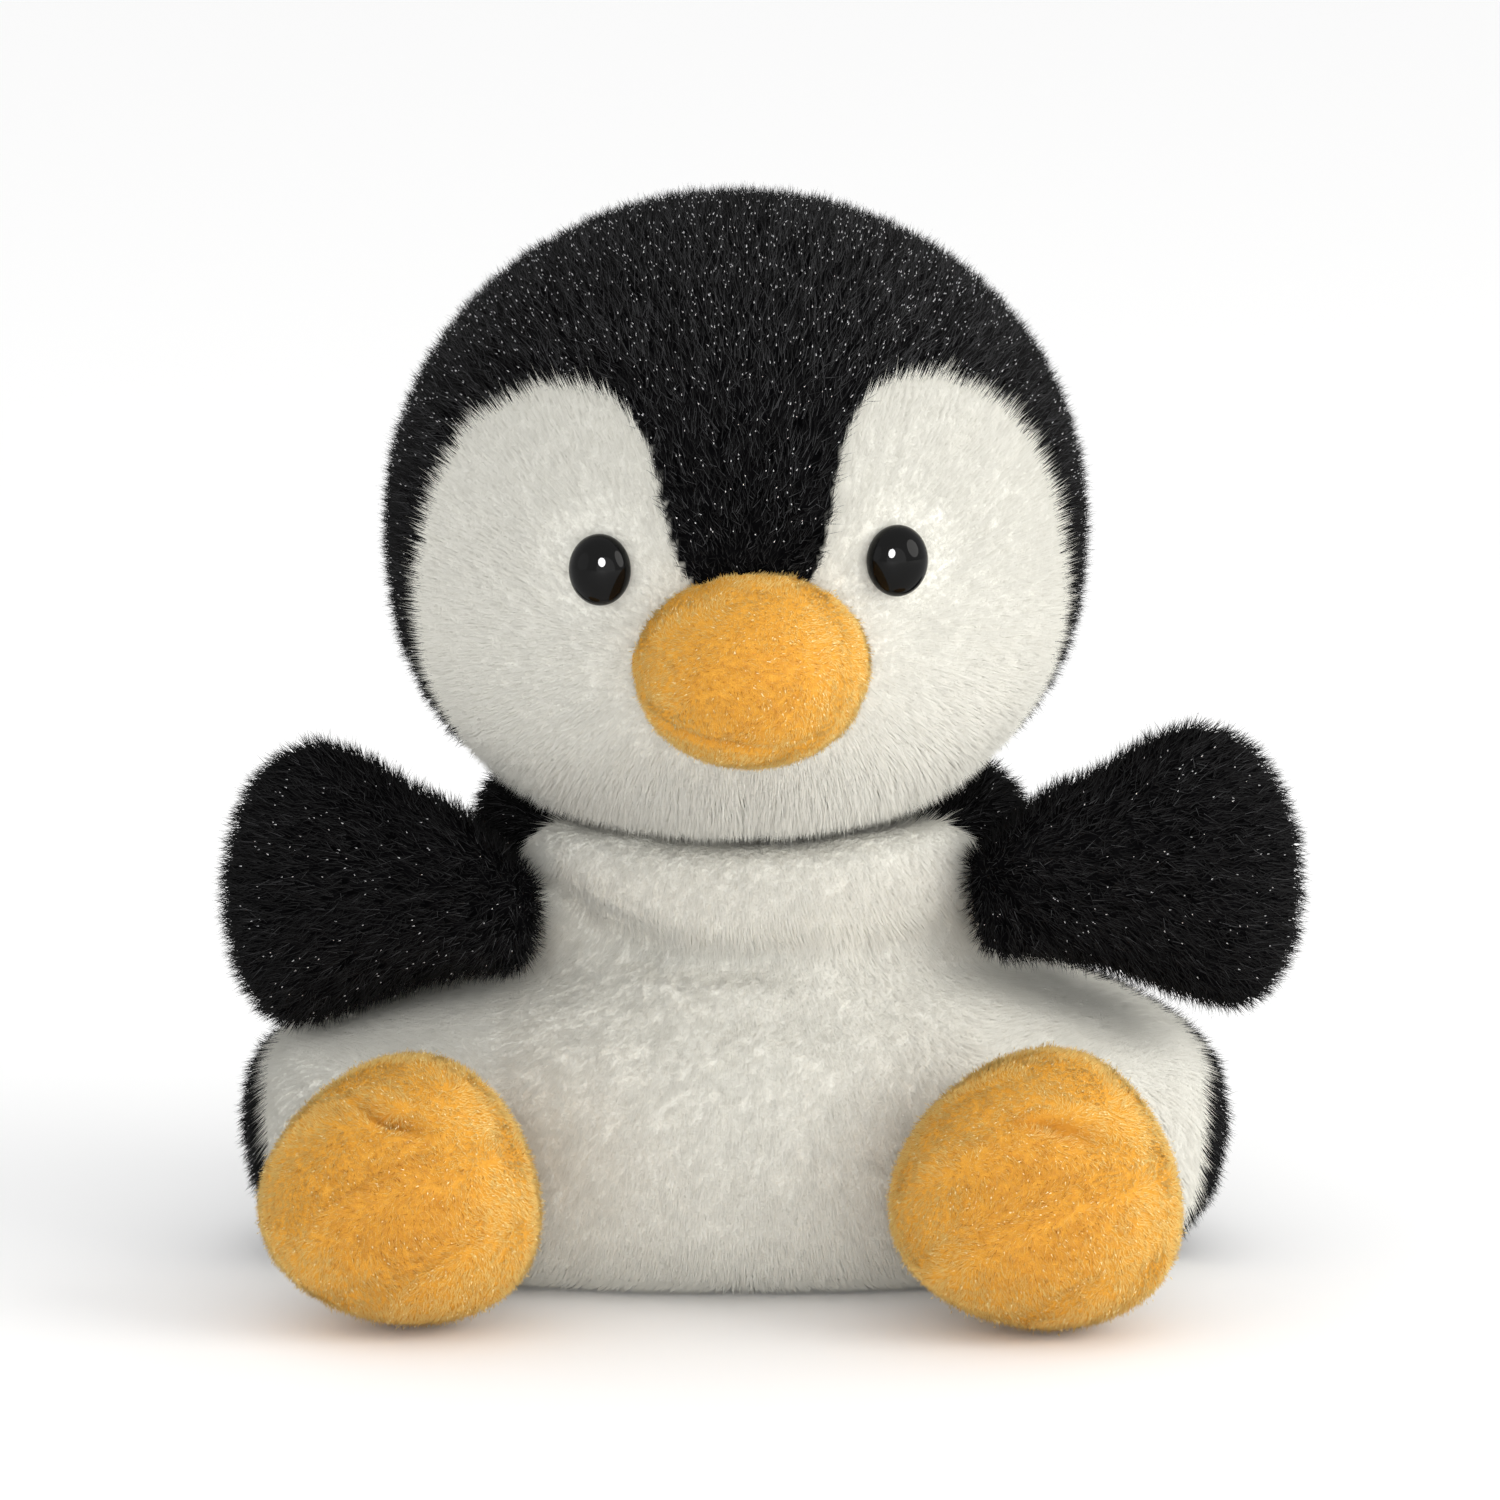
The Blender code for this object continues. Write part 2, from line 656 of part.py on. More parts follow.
def pad_half(outline, centre, side, depth, wall):
    """Half of a stuffed pad as an open bowl; side is -1 for the front and 1 for the back."""
    shares = np.array([0.25, 0.6, 0.84, 0.96, 1.0])
    spread = np.linalg.norm(outline - centre, axis=1).mean()
    rings = []
    for scale, reach in ((1.0, depth), (1 - wall / spread, depth - wall)):
        layer = []
        for share in shares:
            flat = centre + (outline - centre) * scale * share
            height = side * (GAP / 2 + reach * np.sqrt(max(0.0, 1 - share**2.3)))
            layer.append(np.stack([flat[:, 0], np.full(len(flat), height), flat[:, 1]], axis=1))
        rings += layer if scale == 1.0 else layer[::-1]
    return ring_stack(rings)


def pad_filling(outline, centre, front, back, wall):
    shares = np.array([0.35, 0.75, 1.0])
    spread = np.linalg.norm(outline - centre, axis=1).mean()
    scale = 1 - (wall + 0.9 * MM) / spread
    rings = []
    for side, depth in ((-1, front), (1, back)):
        layer = []
        for share in shares:
            flat = centre + (outline - centre) * scale * share
            lift = np.sqrt(max(0.0, 1 - share**2.3))
            height = side * (0.4 * MM + (depth - wall - FILL_GAP - 0.5 * MM) * lift)
            layer.append(np.stack([flat[:, 0], np.full(len(flat), height), flat[:, 1]], axis=1))
        rings += layer if side < 0 else layer[::-1]
    return ring_stack(rings)


def build_pad(name, labels, outline, centre, depths, pivot, shift, mats):
    parts = [
        (name + "_" + labels[0], pad_half(outline, centre, -1, depths[0], CLOTH), mats[0]),
        (name + "_" + labels[1], pad_half(outline, centre, 1, depths[1], CLOTH), mats[0]),
        (name + "_stuffing", pad_filling(outline, centre, *depths, CLOTH), mats[1]),
    ]
    for node, (points, faces), mat in parts:
        moved = [np.array(p) + np.array([0.0, shift, 0.0]) for p in points]
        solid(node, moved, faces, mat, pivot)


def build_wings(black, fibre):
    curve = catmull_rom(WING_OUTLINE, STEPS_PER_SEAM_SPAN, closed=True) * MM
    centre = np.array(WING_CENTRE) * MM
    poses = {
        "wing_right": (1, WING_RIGHT_PIVOT, WING_RIGHT_SWEEP, -WING_RIGHT_LIFT),
        "wing_left": (-1, WING_LEFT_PIVOT, -WING_LEFT_SWEEP, WING_LEFT_LIFT),
    }
    for name, (sign, place, sweep, lift) in poses.items():
        pivot = empty_at(name + "_pivot", place, (0.0, lift, sweep))
        outline = curve * np.array([sign, 1.0])
        middle = centre * np.array([sign, 1.0])
        depths = (WING_HALF_THICKNESS, WING_HALF_THICKNESS)
        build_pad(name, ("front", "back"), outline, middle, depths, pivot, 0.0, (black, fibre))


def build_feet(orange, fibre):
    angles = np.linspace(0, 2 * np.pi, 24, endpoint=False)
    circle = np.stack([np.cos(angles), FOOT_HEIGHT_RATIO * np.sin(angles)], axis=1)
    poses = {
        "foot_right": (FOOT_RIGHT_PIVOT, FOOT_RIGHT_SPLAY, FOOT_RIGHT_HALF_WIDTH),
        "foot_left": (FOOT_LEFT_PIVOT, FOOT_LEFT_SPLAY, FOOT_LEFT_HALF_WIDTH),
    }
    for name, (place, splay, half_width) in poses.items():
        outline = circle * half_width
        pivot = empty_at(name + "_pivot", place, (FOOT_TIP, 0.0, splay))
        depths = (FOOT_SOLE_DEPTH, FOOT_HEEL_DEPTH)
        shift = -FOOT_HEEL_DEPTH - GAP / 2
        build_pad(
            name, ("sole", "heel"), outline, np.zeros(2), depths, pivot, shift, (orange, fibre)
        )


def main():
    clear_scene()
    black = new_material("plush_black", BLACK, 0.9)
    white = new_material("plush_white", WHITE, 0.9)
    orange = new_material("plush_orange", ORANGE, 0.9)
    fibre = new_material("fibre_filling", FIBRE, 0.95)
    bag_mat = new_material("pellet_bag_cloth", (0.78, 0.78, 0.76), 0.8)
    bean_mat = new_material("pellets", (0.85, 0.85, 0.83), 0.5)
    eye_mat = new_material("eye_gloss", (0.006, 0.005, 0.005), 0.06)
    plastic = new_material("washer_plastic", (0.75, 0.75, 0.72), 0.4)

    neck = empty_at("neck_pivot", NECK_PIVOT, (0.0, 0.0, HEAD_TURN_REST))
    nod = empty_at("nod_pivot", (0.0, 0.0, 0.0), (0.0, HEAD_ROLL_REST, 0.0), neck)
    head = empty_at("head_centre", (0.0, 0.0, HEAD_CENTRE_ABOVE_PIVOT), (0.0, 0.0, 0.0), nod)

    build_head(head, black, white, orange, fibre, plastic, eye_mat)
    build_body(black, white, fibre, bag_mat, bean_mat)
    build_neck(neck, white)
    build_wings(black, fibre)
    build_feet(orange, fibre)


main()
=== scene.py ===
"""Looks of the seated plush penguin: stuffed skins, their fur, the eyes, light and camera.

Lengths are metres in the row frame: +Z up, the penguin faces -Y, +X is the viewer's right.
"""
import math

import bmesh
import bpy
import numpy as np
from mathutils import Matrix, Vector
from mathutils.bvhtree import BVHTree


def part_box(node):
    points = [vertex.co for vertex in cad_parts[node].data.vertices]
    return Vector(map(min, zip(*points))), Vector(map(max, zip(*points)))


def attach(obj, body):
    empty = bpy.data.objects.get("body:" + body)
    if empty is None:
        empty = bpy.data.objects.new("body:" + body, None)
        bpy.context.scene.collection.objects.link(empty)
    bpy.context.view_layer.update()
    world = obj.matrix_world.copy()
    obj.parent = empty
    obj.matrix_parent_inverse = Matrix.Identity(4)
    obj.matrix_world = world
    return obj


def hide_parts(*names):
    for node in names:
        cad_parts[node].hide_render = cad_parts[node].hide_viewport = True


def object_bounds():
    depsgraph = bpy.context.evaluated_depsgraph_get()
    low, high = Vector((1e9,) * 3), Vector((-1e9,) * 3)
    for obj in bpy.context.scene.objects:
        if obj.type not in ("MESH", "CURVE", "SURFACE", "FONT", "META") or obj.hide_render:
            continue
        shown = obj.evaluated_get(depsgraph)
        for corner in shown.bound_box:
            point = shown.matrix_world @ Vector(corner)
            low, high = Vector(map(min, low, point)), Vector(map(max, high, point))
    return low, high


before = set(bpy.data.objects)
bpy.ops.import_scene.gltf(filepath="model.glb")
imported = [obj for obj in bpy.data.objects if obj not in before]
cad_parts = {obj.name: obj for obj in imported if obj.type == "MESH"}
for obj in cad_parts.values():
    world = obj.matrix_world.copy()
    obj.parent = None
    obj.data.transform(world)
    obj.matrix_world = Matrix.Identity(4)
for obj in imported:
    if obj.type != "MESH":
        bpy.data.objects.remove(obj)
cad_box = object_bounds()

MM = 0.001
UP = np.array([0.0, 0.0, 1.0])
SIDES = ("left", "right")

# Every part draws its hairs from a seed of its own.
SEED = 7
BODY_SEED = SEED + 1
WING_SEEDS = {"left": SEED + 2, "right": SEED + 3}
NECK_SEED = SEED + 4
SWIRL_SEED = SEED + 9

# Swelling of the stuffed skins.
PRESSURE = 4.0
PRESSURE_FRAMES = 20

# Hairs: how deep a root sits under the skin, how close a hair may come to the floor,
# the size of a tuft, and how many different leans the tufts take.
ROOT_DEPTH = 0.15 * MM
FLOOR_GAP = 0.02 * MM
TUFT = 1.1 * MM
TUFT_LEANS = 9973
CELL_PRIMES = (73856093, 19349663, 83492791)
MOST_HAIRS = 60000


# ---------------------------------------------------------------- small helpers

def unit(v):
    return v / np.maximum(np.linalg.norm(v, axis=-1, keepdims=True), 1e-12)


def smooth_step(x, low, high):
    t = np.clip((x - low) / (high - low), 0, 1)
    return t * t * (3 - 2 * t)


def node_points(name):
    """A CAD node's vertices and polygons in the row frame."""
    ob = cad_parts[name]
    points = np.empty(len(ob.data.vertices) * 3)
    ob.data.vertices.foreach_get("co", points)
    faces = [tuple(p.vertices) for p in ob.data.polygons]
    matrix = np.array(ob.matrix_world)
    points = points.reshape(-1, 3) @ matrix[:3, :3].T + matrix[:3, 3]
    return points, faces


def node_box(name):
    low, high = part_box(name)
    return np.array(low), np.array(high)


def boxes(names):
    lows, highs = zip(*(node_box(n) for n in names))
    return np.min(lows, axis=0), np.max(highs, axis=0)


def middle_and_half(names):
    low, high = boxes(names)
    return (low + high) / 2, (high - low) / 2


def add_object(name, mesh):
    ob = bpy.data.objects.new(name, mesh)
    bpy.context.scene.collection.objects.link(ob)
    return ob


def evaluated_copy(ob, name):
    graph = bpy.context.evaluated_depsgraph_get()
    mesh = bpy.data.meshes.new_from_object(ob.evaluated_get(graph))
    mesh.name = name
    return mesh


def coords(mesh):
    points = np.empty(len(mesh.vertices) * 3)
    mesh.vertices.foreach_get("co", points)
    return points.reshape(-1, 3)


def set_coords(mesh, points):
    mesh.vertices.foreach_set("co", np.asarray(points, dtype=float).ravel())
    mesh.update()


# ---------------------------------------------------------------- materials

def principled(name, colour, roughness, **sockets):
    mat = bpy.data.materials.new(name)
    mat.use_nodes = True
    shader = mat.node_tree.nodes["Principled BSDF"]
    shader.inputs["Base Color"].default_value = (*colour, 1.0)
    shader.inputs["Roughness"].default_value = roughness
    for socket, value in sockets.items():
        shader.inputs[socket.replace("_", " ")].default_value = value
    return mat


def cloth_material(name, dark, light, scale, bump, second=None):
    """Backing cloth under the pile: mottled colour with a fine fibrous bump.

    With a second (dark, light) pair, the vertex colour "patch" blends from the first
    cloth (0) to the second (1).
    """
    mat = principled(name, light, 0.95, Specular_IOR_Level=0.0)
    tree = mat.node_tree
    shader = tree.nodes["Principled BSDF"]
    link = tree.links.new
    place = tree.nodes.new("ShaderNodeTexCoord")
    mottle = tree.nodes.new("ShaderNodeTexNoise")
    mottle.inputs["Scale"].default_value = scale
    mottle.inputs["Detail"].default_value = 6.0
    link(place.outputs["Object"], mottle.inputs["Vector"])

    def tone(low, high):
        ramp = tree.nodes.new("ShaderNodeValToRGB")
        ramp.color_ramp.elements[0].position = 0.35
        ramp.color_ramp.elements[0].color = (*low, 1)
        ramp.color_ramp.elements[1].position = 0.65
        ramp.color_ramp.elements[1].color = (*high, 1)
        link(mottle.outputs["Fac"], ramp.inputs["Fac"])
        return ramp.outputs["Color"]

    colour = tone(dark, light)
    if second:
        patch = tree.nodes.new("ShaderNodeVertexColor")
        patch.layer_name = "patch"
        blend = tree.nodes.new("ShaderNodeMix")
        blend.data_type = "RGBA"
        link(patch.outputs["Color"], blend.inputs["Factor"])
        link(colour, blend.inputs["A"])
        link(tone(*second), blend.inputs["B"])
        colour = blend.outputs["Result"]
    fibre = tree.nodes.new("ShaderNodeTexNoise")
    fibre.inputs["Scale"].default_value = scale * 4
    fibre.inputs["Detail"].default_value = 3.0
    relief = tree.nodes.new("ShaderNodeBump")
    relief.inputs["Strength"].default_value = bump
    relief.inputs["Distance"].default_value = 0.0006
    link(place.outputs["Object"], fibre.inputs["Vector"])
    link(colour, shader.inputs["Base Color"])
    link(fibre.outputs["Fac"], relief.inputs["Height"])
    link(relief.outputs["Normal"], shader.inputs["Normal"])
    return mat


def hair_material(name, colour, roughness=0.8, specular=0.0):
    return principled(name, colour, roughness, Specular_IOR_Level=specular)


# ---------------------------------------------------------------- stuffed skins

def closed_hull(name, nodes):
    """The convex outside of some CAD nodes, as one closed mesh."""
    points = np.concatenate([node_points(n)[0] for n in nodes])
    bm = bmesh.new()
    for p in points:
        bm.verts.new(p)
    result = bmesh.ops.convex_hull(bm, input=bm.verts)
    spare = [e for e in result["geom_interior"] if isinstance(e, bmesh.types.BMVert)]
    spare += [e for e in result["geom_unused"] if isinstance(e, bmesh.types.BMVert)]
    bmesh.ops.delete(bm, geom=list(set(spare)), context="VERTS")
    mesh = bpy.data.meshes.new(name)
    bm.to_mesh(mesh)
    bm.free()
    return add_object(name, mesh)


def joined(name, nodes):
    points = []
    faces = []
    for node in nodes:
        p, f = node_points(node)
        offset = len(points)
        points += [tuple(q) for q in p]
        faces += [tuple(i + offset for i in face) for face in f]
    mesh = bpy.data.meshes.new(name)
    mesh.from_pydata(points, [], faces)
    return add_object(name, mesh)


def keep_outside(mesh):
    """Drop every loose part but the largest, which is the outer surface."""
    bm = bmesh.new()
    bm.from_mesh(mesh)
    left = set(bm.verts)
    parts = []
    while left:
        stack = [left.pop()]
        part = set(stack)
        while stack:
            v = stack.pop()
            for e in v.link_edges:
                w = e.other_vert(v)
                if w in left:
                    left.remove(w)
                    part.add(w)
                    stack.append(w)
        parts.append(part)
    parts.sort(key=len)
    spare = [v for part in parts[:-1] for v in part]
    bmesh.ops.delete(bm, geom=spare, context="VERTS")
    bm.to_mesh(mesh)
    bm.free()


def remeshed(ob, voxel, relax):
    """An even closed surface over ob, with small gaps closed."""
    mod = ob.modifiers.new("even", "REMESH")
    mod.mode = "VOXEL"
    mod.voxel_size = voxel
    fair = ob.modifiers.new("fair", "SMOOTH")
    fair.factor = 0.5
    fair.iterations = relax
    mesh = evaluated_copy(ob, ob.name)
    ob.modifiers.clear()
    ob.data = mesh
    keep_outside(mesh)
    return ob


def subdivided(ob):
    mod = ob.modifiers.new("fine", "SUBSURF")
    mod.levels = 1
    mod.render_levels = 1
    mesh = evaluated_copy(ob, ob.name)
    ob.modifiers.clear()
    ob.data = mesh
    mesh.polygons.foreach_set("use_smooth", [True] * len(mesh.polygons))


def panel_distances(points, nodes):
    """Distance from each point to each CAD node, one column per node."""
    table = np.empty((len(points), len(nodes)))
    for column, node in enumerate(nodes):
        p, f = node_points(node)
        tree = BVHTree.FromPolygons([tuple(q) for q in p], f)
        table[:, column] = [tree.find_nearest(q)[3] for q in points]
    return table


def seam_weights(table, width):
    """1 on a seam between two panels, falling to 0 at width from it."""
    near = np.sort(table, axis=1)
    return 1 - smooth_step(near[:, 1] - near[:, 0], 0.0, width)


def puffed(ob, pins, cap):
    """Swell a closed skin by cloth pressure with its seams held, and keep the result."""
    scene = bpy.context.scene
    before = coords(ob.data)
    group = ob.vertex_groups.new(name="seams")
    for index in np.nonzero(pins > 0.02)[0]:
        group.add([int(index)], float(pins[index]), "REPLACE")
    cloth = ob.modifiers.new("pressure", "CLOTH")
    settings = cloth.settings
    settings.use_pressure = True
    settings.uniform_pressure_force = PRESSURE
    settings.quality = 4
    settings.mass = 0.2
    settings.tension_stiffness = 12
    settings.compression_stiffness = 12
    settings.bending_stiffness = 0.3
    settings.effector_weights.gravity = 0
    settings.vertex_group_mass = "seams"
    cloth.point_cache.frame_start = 1
    cloth.point_cache.frame_end = PRESSURE_FRAMES
    for step in range(1, PRESSURE_FRAMES + 1):
        scene.frame_set(step)
    after = coords(evaluated_copy(ob, ob.name + "_result"))
    ob.modifiers.clear()
    ob.vertex_groups.clear()
    scene.frame_set(1)
    move = after - before
    length = np.linalg.norm(move, axis=1, keepdims=True)
    move *= np.minimum(1, cap / np.maximum(length, 1e-9))
    set_coords(ob.data, before + move)


def point_normals(mesh):
    normals = np.empty(len(mesh.vertices) * 3)
    mesh.vertices.foreach_get("normal", normals)
    return normals.reshape(-1, 3)


def on_front(ob, low, high, places):
    """Skin points under (x, z) shares of a box, seen from the front."""
    faces = [tuple(f.vertices) for f in ob.data.polygons]
    tree = BVHTree.FromPolygons([tuple(p) for p in coords(ob.data)], faces)
    found = []
    for across, up in places:
        x = low[0] + across * (high[0] - low[0])
        z = low[2] + up * (high[2] - low[2])
        hit = tree.ray_cast(Vector((x, -1.0, z)), Vector((0, 1, 0)))[0]
        if hit is not None:
            found.append(np.array(hit))
    return np.array(found)


def dented(ob, curve, width, depth):
    """Press a soft crease into a skin along a polyline, fading at its ends."""
    points = coords(ob.data)
    closest = np.full(len(points), 1e9)
    place = np.zeros(len(points))
    steps = len(curve) - 1
    for k in range(steps):
        span = curve[k + 1] - curve[k]
        t = np.clip(((points - curve[k]) @ span) / (span @ span), 0, 1)
        away = np.linalg.norm(points - curve[k] - t[:, None] * span, axis=1)
        better = away < closest
        closest = np.where(better, away, closest)
        place = np.where(better, (k + t) / steps, place)
    taper = np.sin(math.pi * np.clip(place, 0.03, 0.97)) ** 0.6
    press = depth * taper * np.exp(-((closest / width) ** 2))
    set_coords(ob.data, points - point_normals(ob.data) * press[:, None])


def grooved(ob, seams, depth):
    """Sink the seams, given as weights per point."""
    points = coords(ob.data)
    set_coords(ob.data, points - point_normals(ob.data) * (depth * seams)[:, None])


# ---------------------------------------------------------------- fur

class Surface:
    """Triangles of a skin with what fur needs to grow from them."""

    def __init__(self, ob):
        mesh = ob.data
        mesh.calc_loop_triangles()
        self.points = coords(mesh)
        self.triangles = np.empty(len(mesh.loop_triangles) * 3, dtype=np.int64)
        mesh.loop_triangles.foreach_get("vertices", self.triangles)
        self.triangles = self.triangles.reshape(-1, 3)
        corner = self.points[self.triangles]
        across = np.cross(corner[:, 1] - corner[:, 0], corner[:, 2] - corner[:, 0])
        self.areas = np.linalg.norm(across, axis=1) / 2
        normals = np.zeros_like(self.points)
        for k in range(3):
            np.add.at(normals, self.triangles[:, k], across)
        self.normals = self.evened(unit(normals), 8)

    def evened(self, values, rounds):
        """Values per point averaged with their neighbours."""
        for _ in range(rounds):
            total = values.copy()
            middle = values[self.triangles].mean(axis=1)
            for k in range(3):
                np.add.at(total, self.triangles[:, k], middle)
            values = unit(total)
        return values

    def scatter(self, per_mm2, rng):
        """Random roots: triangle index and corner weights."""
        count = int(self.areas.sum() * 1e6 * per_mm2)
        chosen = rng.choice(len(self.areas), count, p=self.areas / self.areas.sum())
        u = rng.random((count, 2))
        fold = u.sum(axis=1) > 1
        u[fold] = 1 - u[fold]
        weights = np.stack([1 - u.sum(axis=1), u[:, 0], u[:, 1]], axis=1)
        return chosen, weights

    def read(self, values, chosen, weights):
        picked = values[self.triangles[chosen]]
        if picked.ndim == 2:
            return (picked * weights).sum(axis=1)
        return (picked * weights[..., None]).sum(axis=1)


def strands(name, roots, normals, directions, lengths, widths, shades, materials, light):
    """Tapered three-sided hairs as one mesh, lit like the skin they grow from.

    light says how far the shading leans out along a hair's spokes and along its tip.
    """
    count = len(roots)
    spoke_light, lean_light = light
    side = unit(np.cross(directions, normals + 1e-4))
    other = np.cross(directions, side)
    base = roots - normals * ROOT_DEPTH
    points = np.empty((count, 4, 3))
    shading = np.empty((count, 4, 3))
    for k in range(3):
        angle = 2 * math.pi * k / 3
        spoke = math.cos(angle) * side + math.sin(angle) * other
        points[:, k] = base + spoke * widths[:, None]
        shading[:, k] = normals + spoke_light * spoke
    points[:, 3] = base + directions * lengths[:, None]
    shading[:, 3] = normals + lean_light * directions
    points[..., 2] = np.maximum(points[..., 2], FLOOR_GAP)
    corner = np.array([[0, 1, 3], [1, 2, 3], [2, 0, 3]])
    index = (np.arange(count)[:, None, None] * 4 + corner).reshape(-1)
    mesh = bpy.data.meshes.new(name)
    mesh.vertices.add(count * 4)
    mesh.vertices.foreach_set("co", points.ravel())
    mesh.loops.add(count * 9)
    mesh.loops.foreach_set("vertex_index", index.astype(np.int32))
    mesh.polygons.add(count * 3)
    mesh.polygons.foreach_set("loop_start", np.arange(0, count * 9, 3, dtype=np.int32))
    mesh.polygons.foreach_set("use_smooth", np.ones(count * 3, dtype=bool))
    mesh.polygons.foreach_set("material_index", np.repeat(shades, 3).astype(np.int32))
    mesh.update()
    mesh.normals_split_custom_set_from_vertices(unit(shading).reshape(-1, 3).tolist())
    for mat in materials:
        mesh.materials.append(mat)
    return add_object(name, mesh)


def groomed(surface, chosen, weights, flow, lean, spread, tufting, rng):
    """Root points, normals and hair directions, gathered into small tufts."""
    roots = surface.read(surface.points, chosen, weights)
    normals = unit(surface.read(surface.normals, chosen, weights))
    along = flow(roots)
    along = unit(along - normals * (along * normals).sum(axis=1, keepdims=True))
    noise = rng.normal(size=roots.shape)
    noise -= normals * (noise * normals).sum(axis=1, keepdims=True)
    cell = np.floor(roots / TUFT).astype(np.int64)
    mixed = (cell * np.array(CELL_PRIMES)).sum(axis=1) % TUFT_LEANS
    tuft = np.random.default_rng(SEED).normal(size=(TUFT_LEANS, 3))[mixed]
    tuft -= normals * (tuft * normals).sum(axis=1, keepdims=True)
    directions = unit(normals + along * np.tan(lean) + noise * spread + tuft * tufting)
    return roots, normals, directions


def shade_by(random, shares):
    """Shade index per hair from the share of each shade, one row of shares per hair."""
    edges = np.cumsum(shares / shares.sum(axis=-1, keepdims=True), axis=-1)
    return np.minimum((random[:, None] > edges).sum(axis=1), shares.shape[-1] - 1)


def with_painted_glints(hairs, share, shade, longest, rng):
    """Add bright flecks near the tips of a share of the hairs: painted glints, bright colour
    that stands in for sparkle on the fibres.
    """
    roots, normals, directions, lengths = hairs[:4]
    lit = rng.random(len(roots)) < share
    along = (lengths * rng.uniform(0.6, 0.95, len(roots)))[lit, None]
    count = int(lit.sum())
    extra = [
        roots[lit] + directions[lit] * along + normals[lit] * ROOT_DEPTH,
        normals[lit],
        directions[lit],
        rng.uniform(0.4, 1.0, count) * longest,
        rng.uniform(0.10, 0.20, count) * longest,
        np.full(count, shade),
    ]
    return [np.concatenate(pair) for pair in zip(hairs, extra)]


def fur_piece(name, body, hairs, look):
    """One fur object from hair arrays, in the shades and lighting of a look."""
    materials, light = look
    ob = strands(name, *hairs, materials, light)
    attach(ob, body)


def covered(skin, body, cloth, nodes):
    """Dress a finished skin, let it ride its body and stand in for the CAD nodes."""
    if cloth:
        skin.data.materials.append(cloth)
    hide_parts(*nodes)
    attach(skin, body)


# ---------------------------------------------------------------- the object's looks

BLACK_HAIR = [
    hair_material("pile_black_deep", (0.0115, 0.0115, 0.0117)),
    hair_material("pile_black_soft", (0.0230, 0.0230, 0.0235)),
    hair_material("pile_black_grey", (0.056, 0.056, 0.058)),
    # The glint shade is a painted glint: light grey colour for the sparkle on fibre tips, with
    # some real gloss.
    hair_material("pile_black_painted_glint", (0.75, 0.75, 0.77), roughness=0.3, specular=0.4),
]
WHITE_HAIR = [
    hair_material("pile_white_bright", (0.845, 0.832, 0.76)),
    hair_material("pile_white_soft", (0.815, 0.80, 0.725)),
    hair_material("pile_white_shade", (0.775, 0.76, 0.68)),
]
ORANGE_HAIR = [
    # The brown shade is painted shade: dark specks for the small shadows between tufts.
    hair_material("pile_orange_painted_shade", (0.46, 0.175, 0.026)),
    hair_material("pile_orange_deep", (0.74, 0.332, 0.062)),
    hair_material("pile_orange", (0.79, 0.394, 0.086)),
    hair_material("pile_orange_light", (0.84, 0.497, 0.142)),
    hair_material("pile_orange_pale", (0.87, 0.60, 0.200)),
    # The last shade is a painted glint: pale yellow colour for light caught on the pile's
    # tips, with some real gloss.
    hair_material("pile_orange_painted_glint", (0.92, 0.70, 0.32), roughness=0.5, specular=0.3),
]
BLACK_LOOK = (BLACK_HAIR, (0.25, 0.30))
WHITE_LOOK = (WHITE_HAIR, (0.05, 0.08))
ORANGE_LOOK = (ORANGE_HAIR, (0.16, 0.22))

# Share of each shade in the pile. The crown has more of the grey black: a painted sheen on the
# top of the head.
WHITE_MIX = (0.45, 0.40, 0.15)
BLACK_MIX = (0.56, 0.38, 0.07)
CROWN_SHEEN = 0.30
WING_MIX = (0.62, 0.35, 0.03)
# Pad pile: the middle mix holds brown hairs as painted shade between tufts, and the pale rim
# mix is a painted sheen toward the rims.
PAD_MIDDLE_MIX = (0.10, 0.34, 0.34, 0.16, 0.06)
PAD_RIM_SHEEN_MIX = (0.01, 0.01, 0.06, 0.30, 0.62)
# Share of hairs that carry a bright fleck, the flecks' shades, and the longest flecks. The
# flecks are painted glints: bright colour for the sparkle on fibre tips.
BLACK_GLINT_SHADE = len(BLACK_HAIR) - 1
ORANGE_GLINT_SHADE = len(ORANGE_HAIR) - 1
BLACK_PAINTED_GLINTS = 0.014
CROWN_PAINTED_GLINTS = 0.07
WING_PAINTED_GLINTS = 0.018
PAD_PAINTED_GLINTS = 0.025
GLINT = 0.36 * MM
PAD_GLINT = 0.5 * MM

# Hairs per square millimetre.
HEAD_BLACK_DENSITY = 8.0
HEAD_WHITE_DENSITY = 15.0
BODY_BLACK_DENSITY = 6.5
BODY_WHITE_DENSITY = 12.5
WING_DENSITY = 8.0
NECK_DENSITY = 14.0
PAD_DENSITY = 17.0

# Voxel sizes of the skins.
PLUSH_VOXEL = 1.7 * MM
WING_VOXEL = 1.4 * MM
NECK_VOXEL = 1.2 * MM
FOOT_VOXEL = 1.4 * MM
BEAK_VOXEL = 1.0 * MM

PILE = 2.4 * MM
PAD_PILE = 1.0 * MM
BEAK_PILE = 0.8 * PAD_PILE
BLACK_WIDTH = 0.062 * MM
WHITE_WIDTH = 0.046 * MM
PAD_WIDTH = 0.052 * MM
# Pile that hangs under a bulge still faces outward: lowest upward share of its shading.
HANGING_FACE = 0.0
# Skin that faces down more than this has no pile.
LOWEST_FACE = -0.97
# Where black and white meet: half width of the blend in the cloth, reach of the longer
# white hairs, and the gap that the black pile leaves.
CLOTH_BLEND = 0.25 * MM
BORDER_REACH = 2.2 * MM
BLACK_BORDER = 0.15 * MM
CROWN_DEPTH = 45 * MM

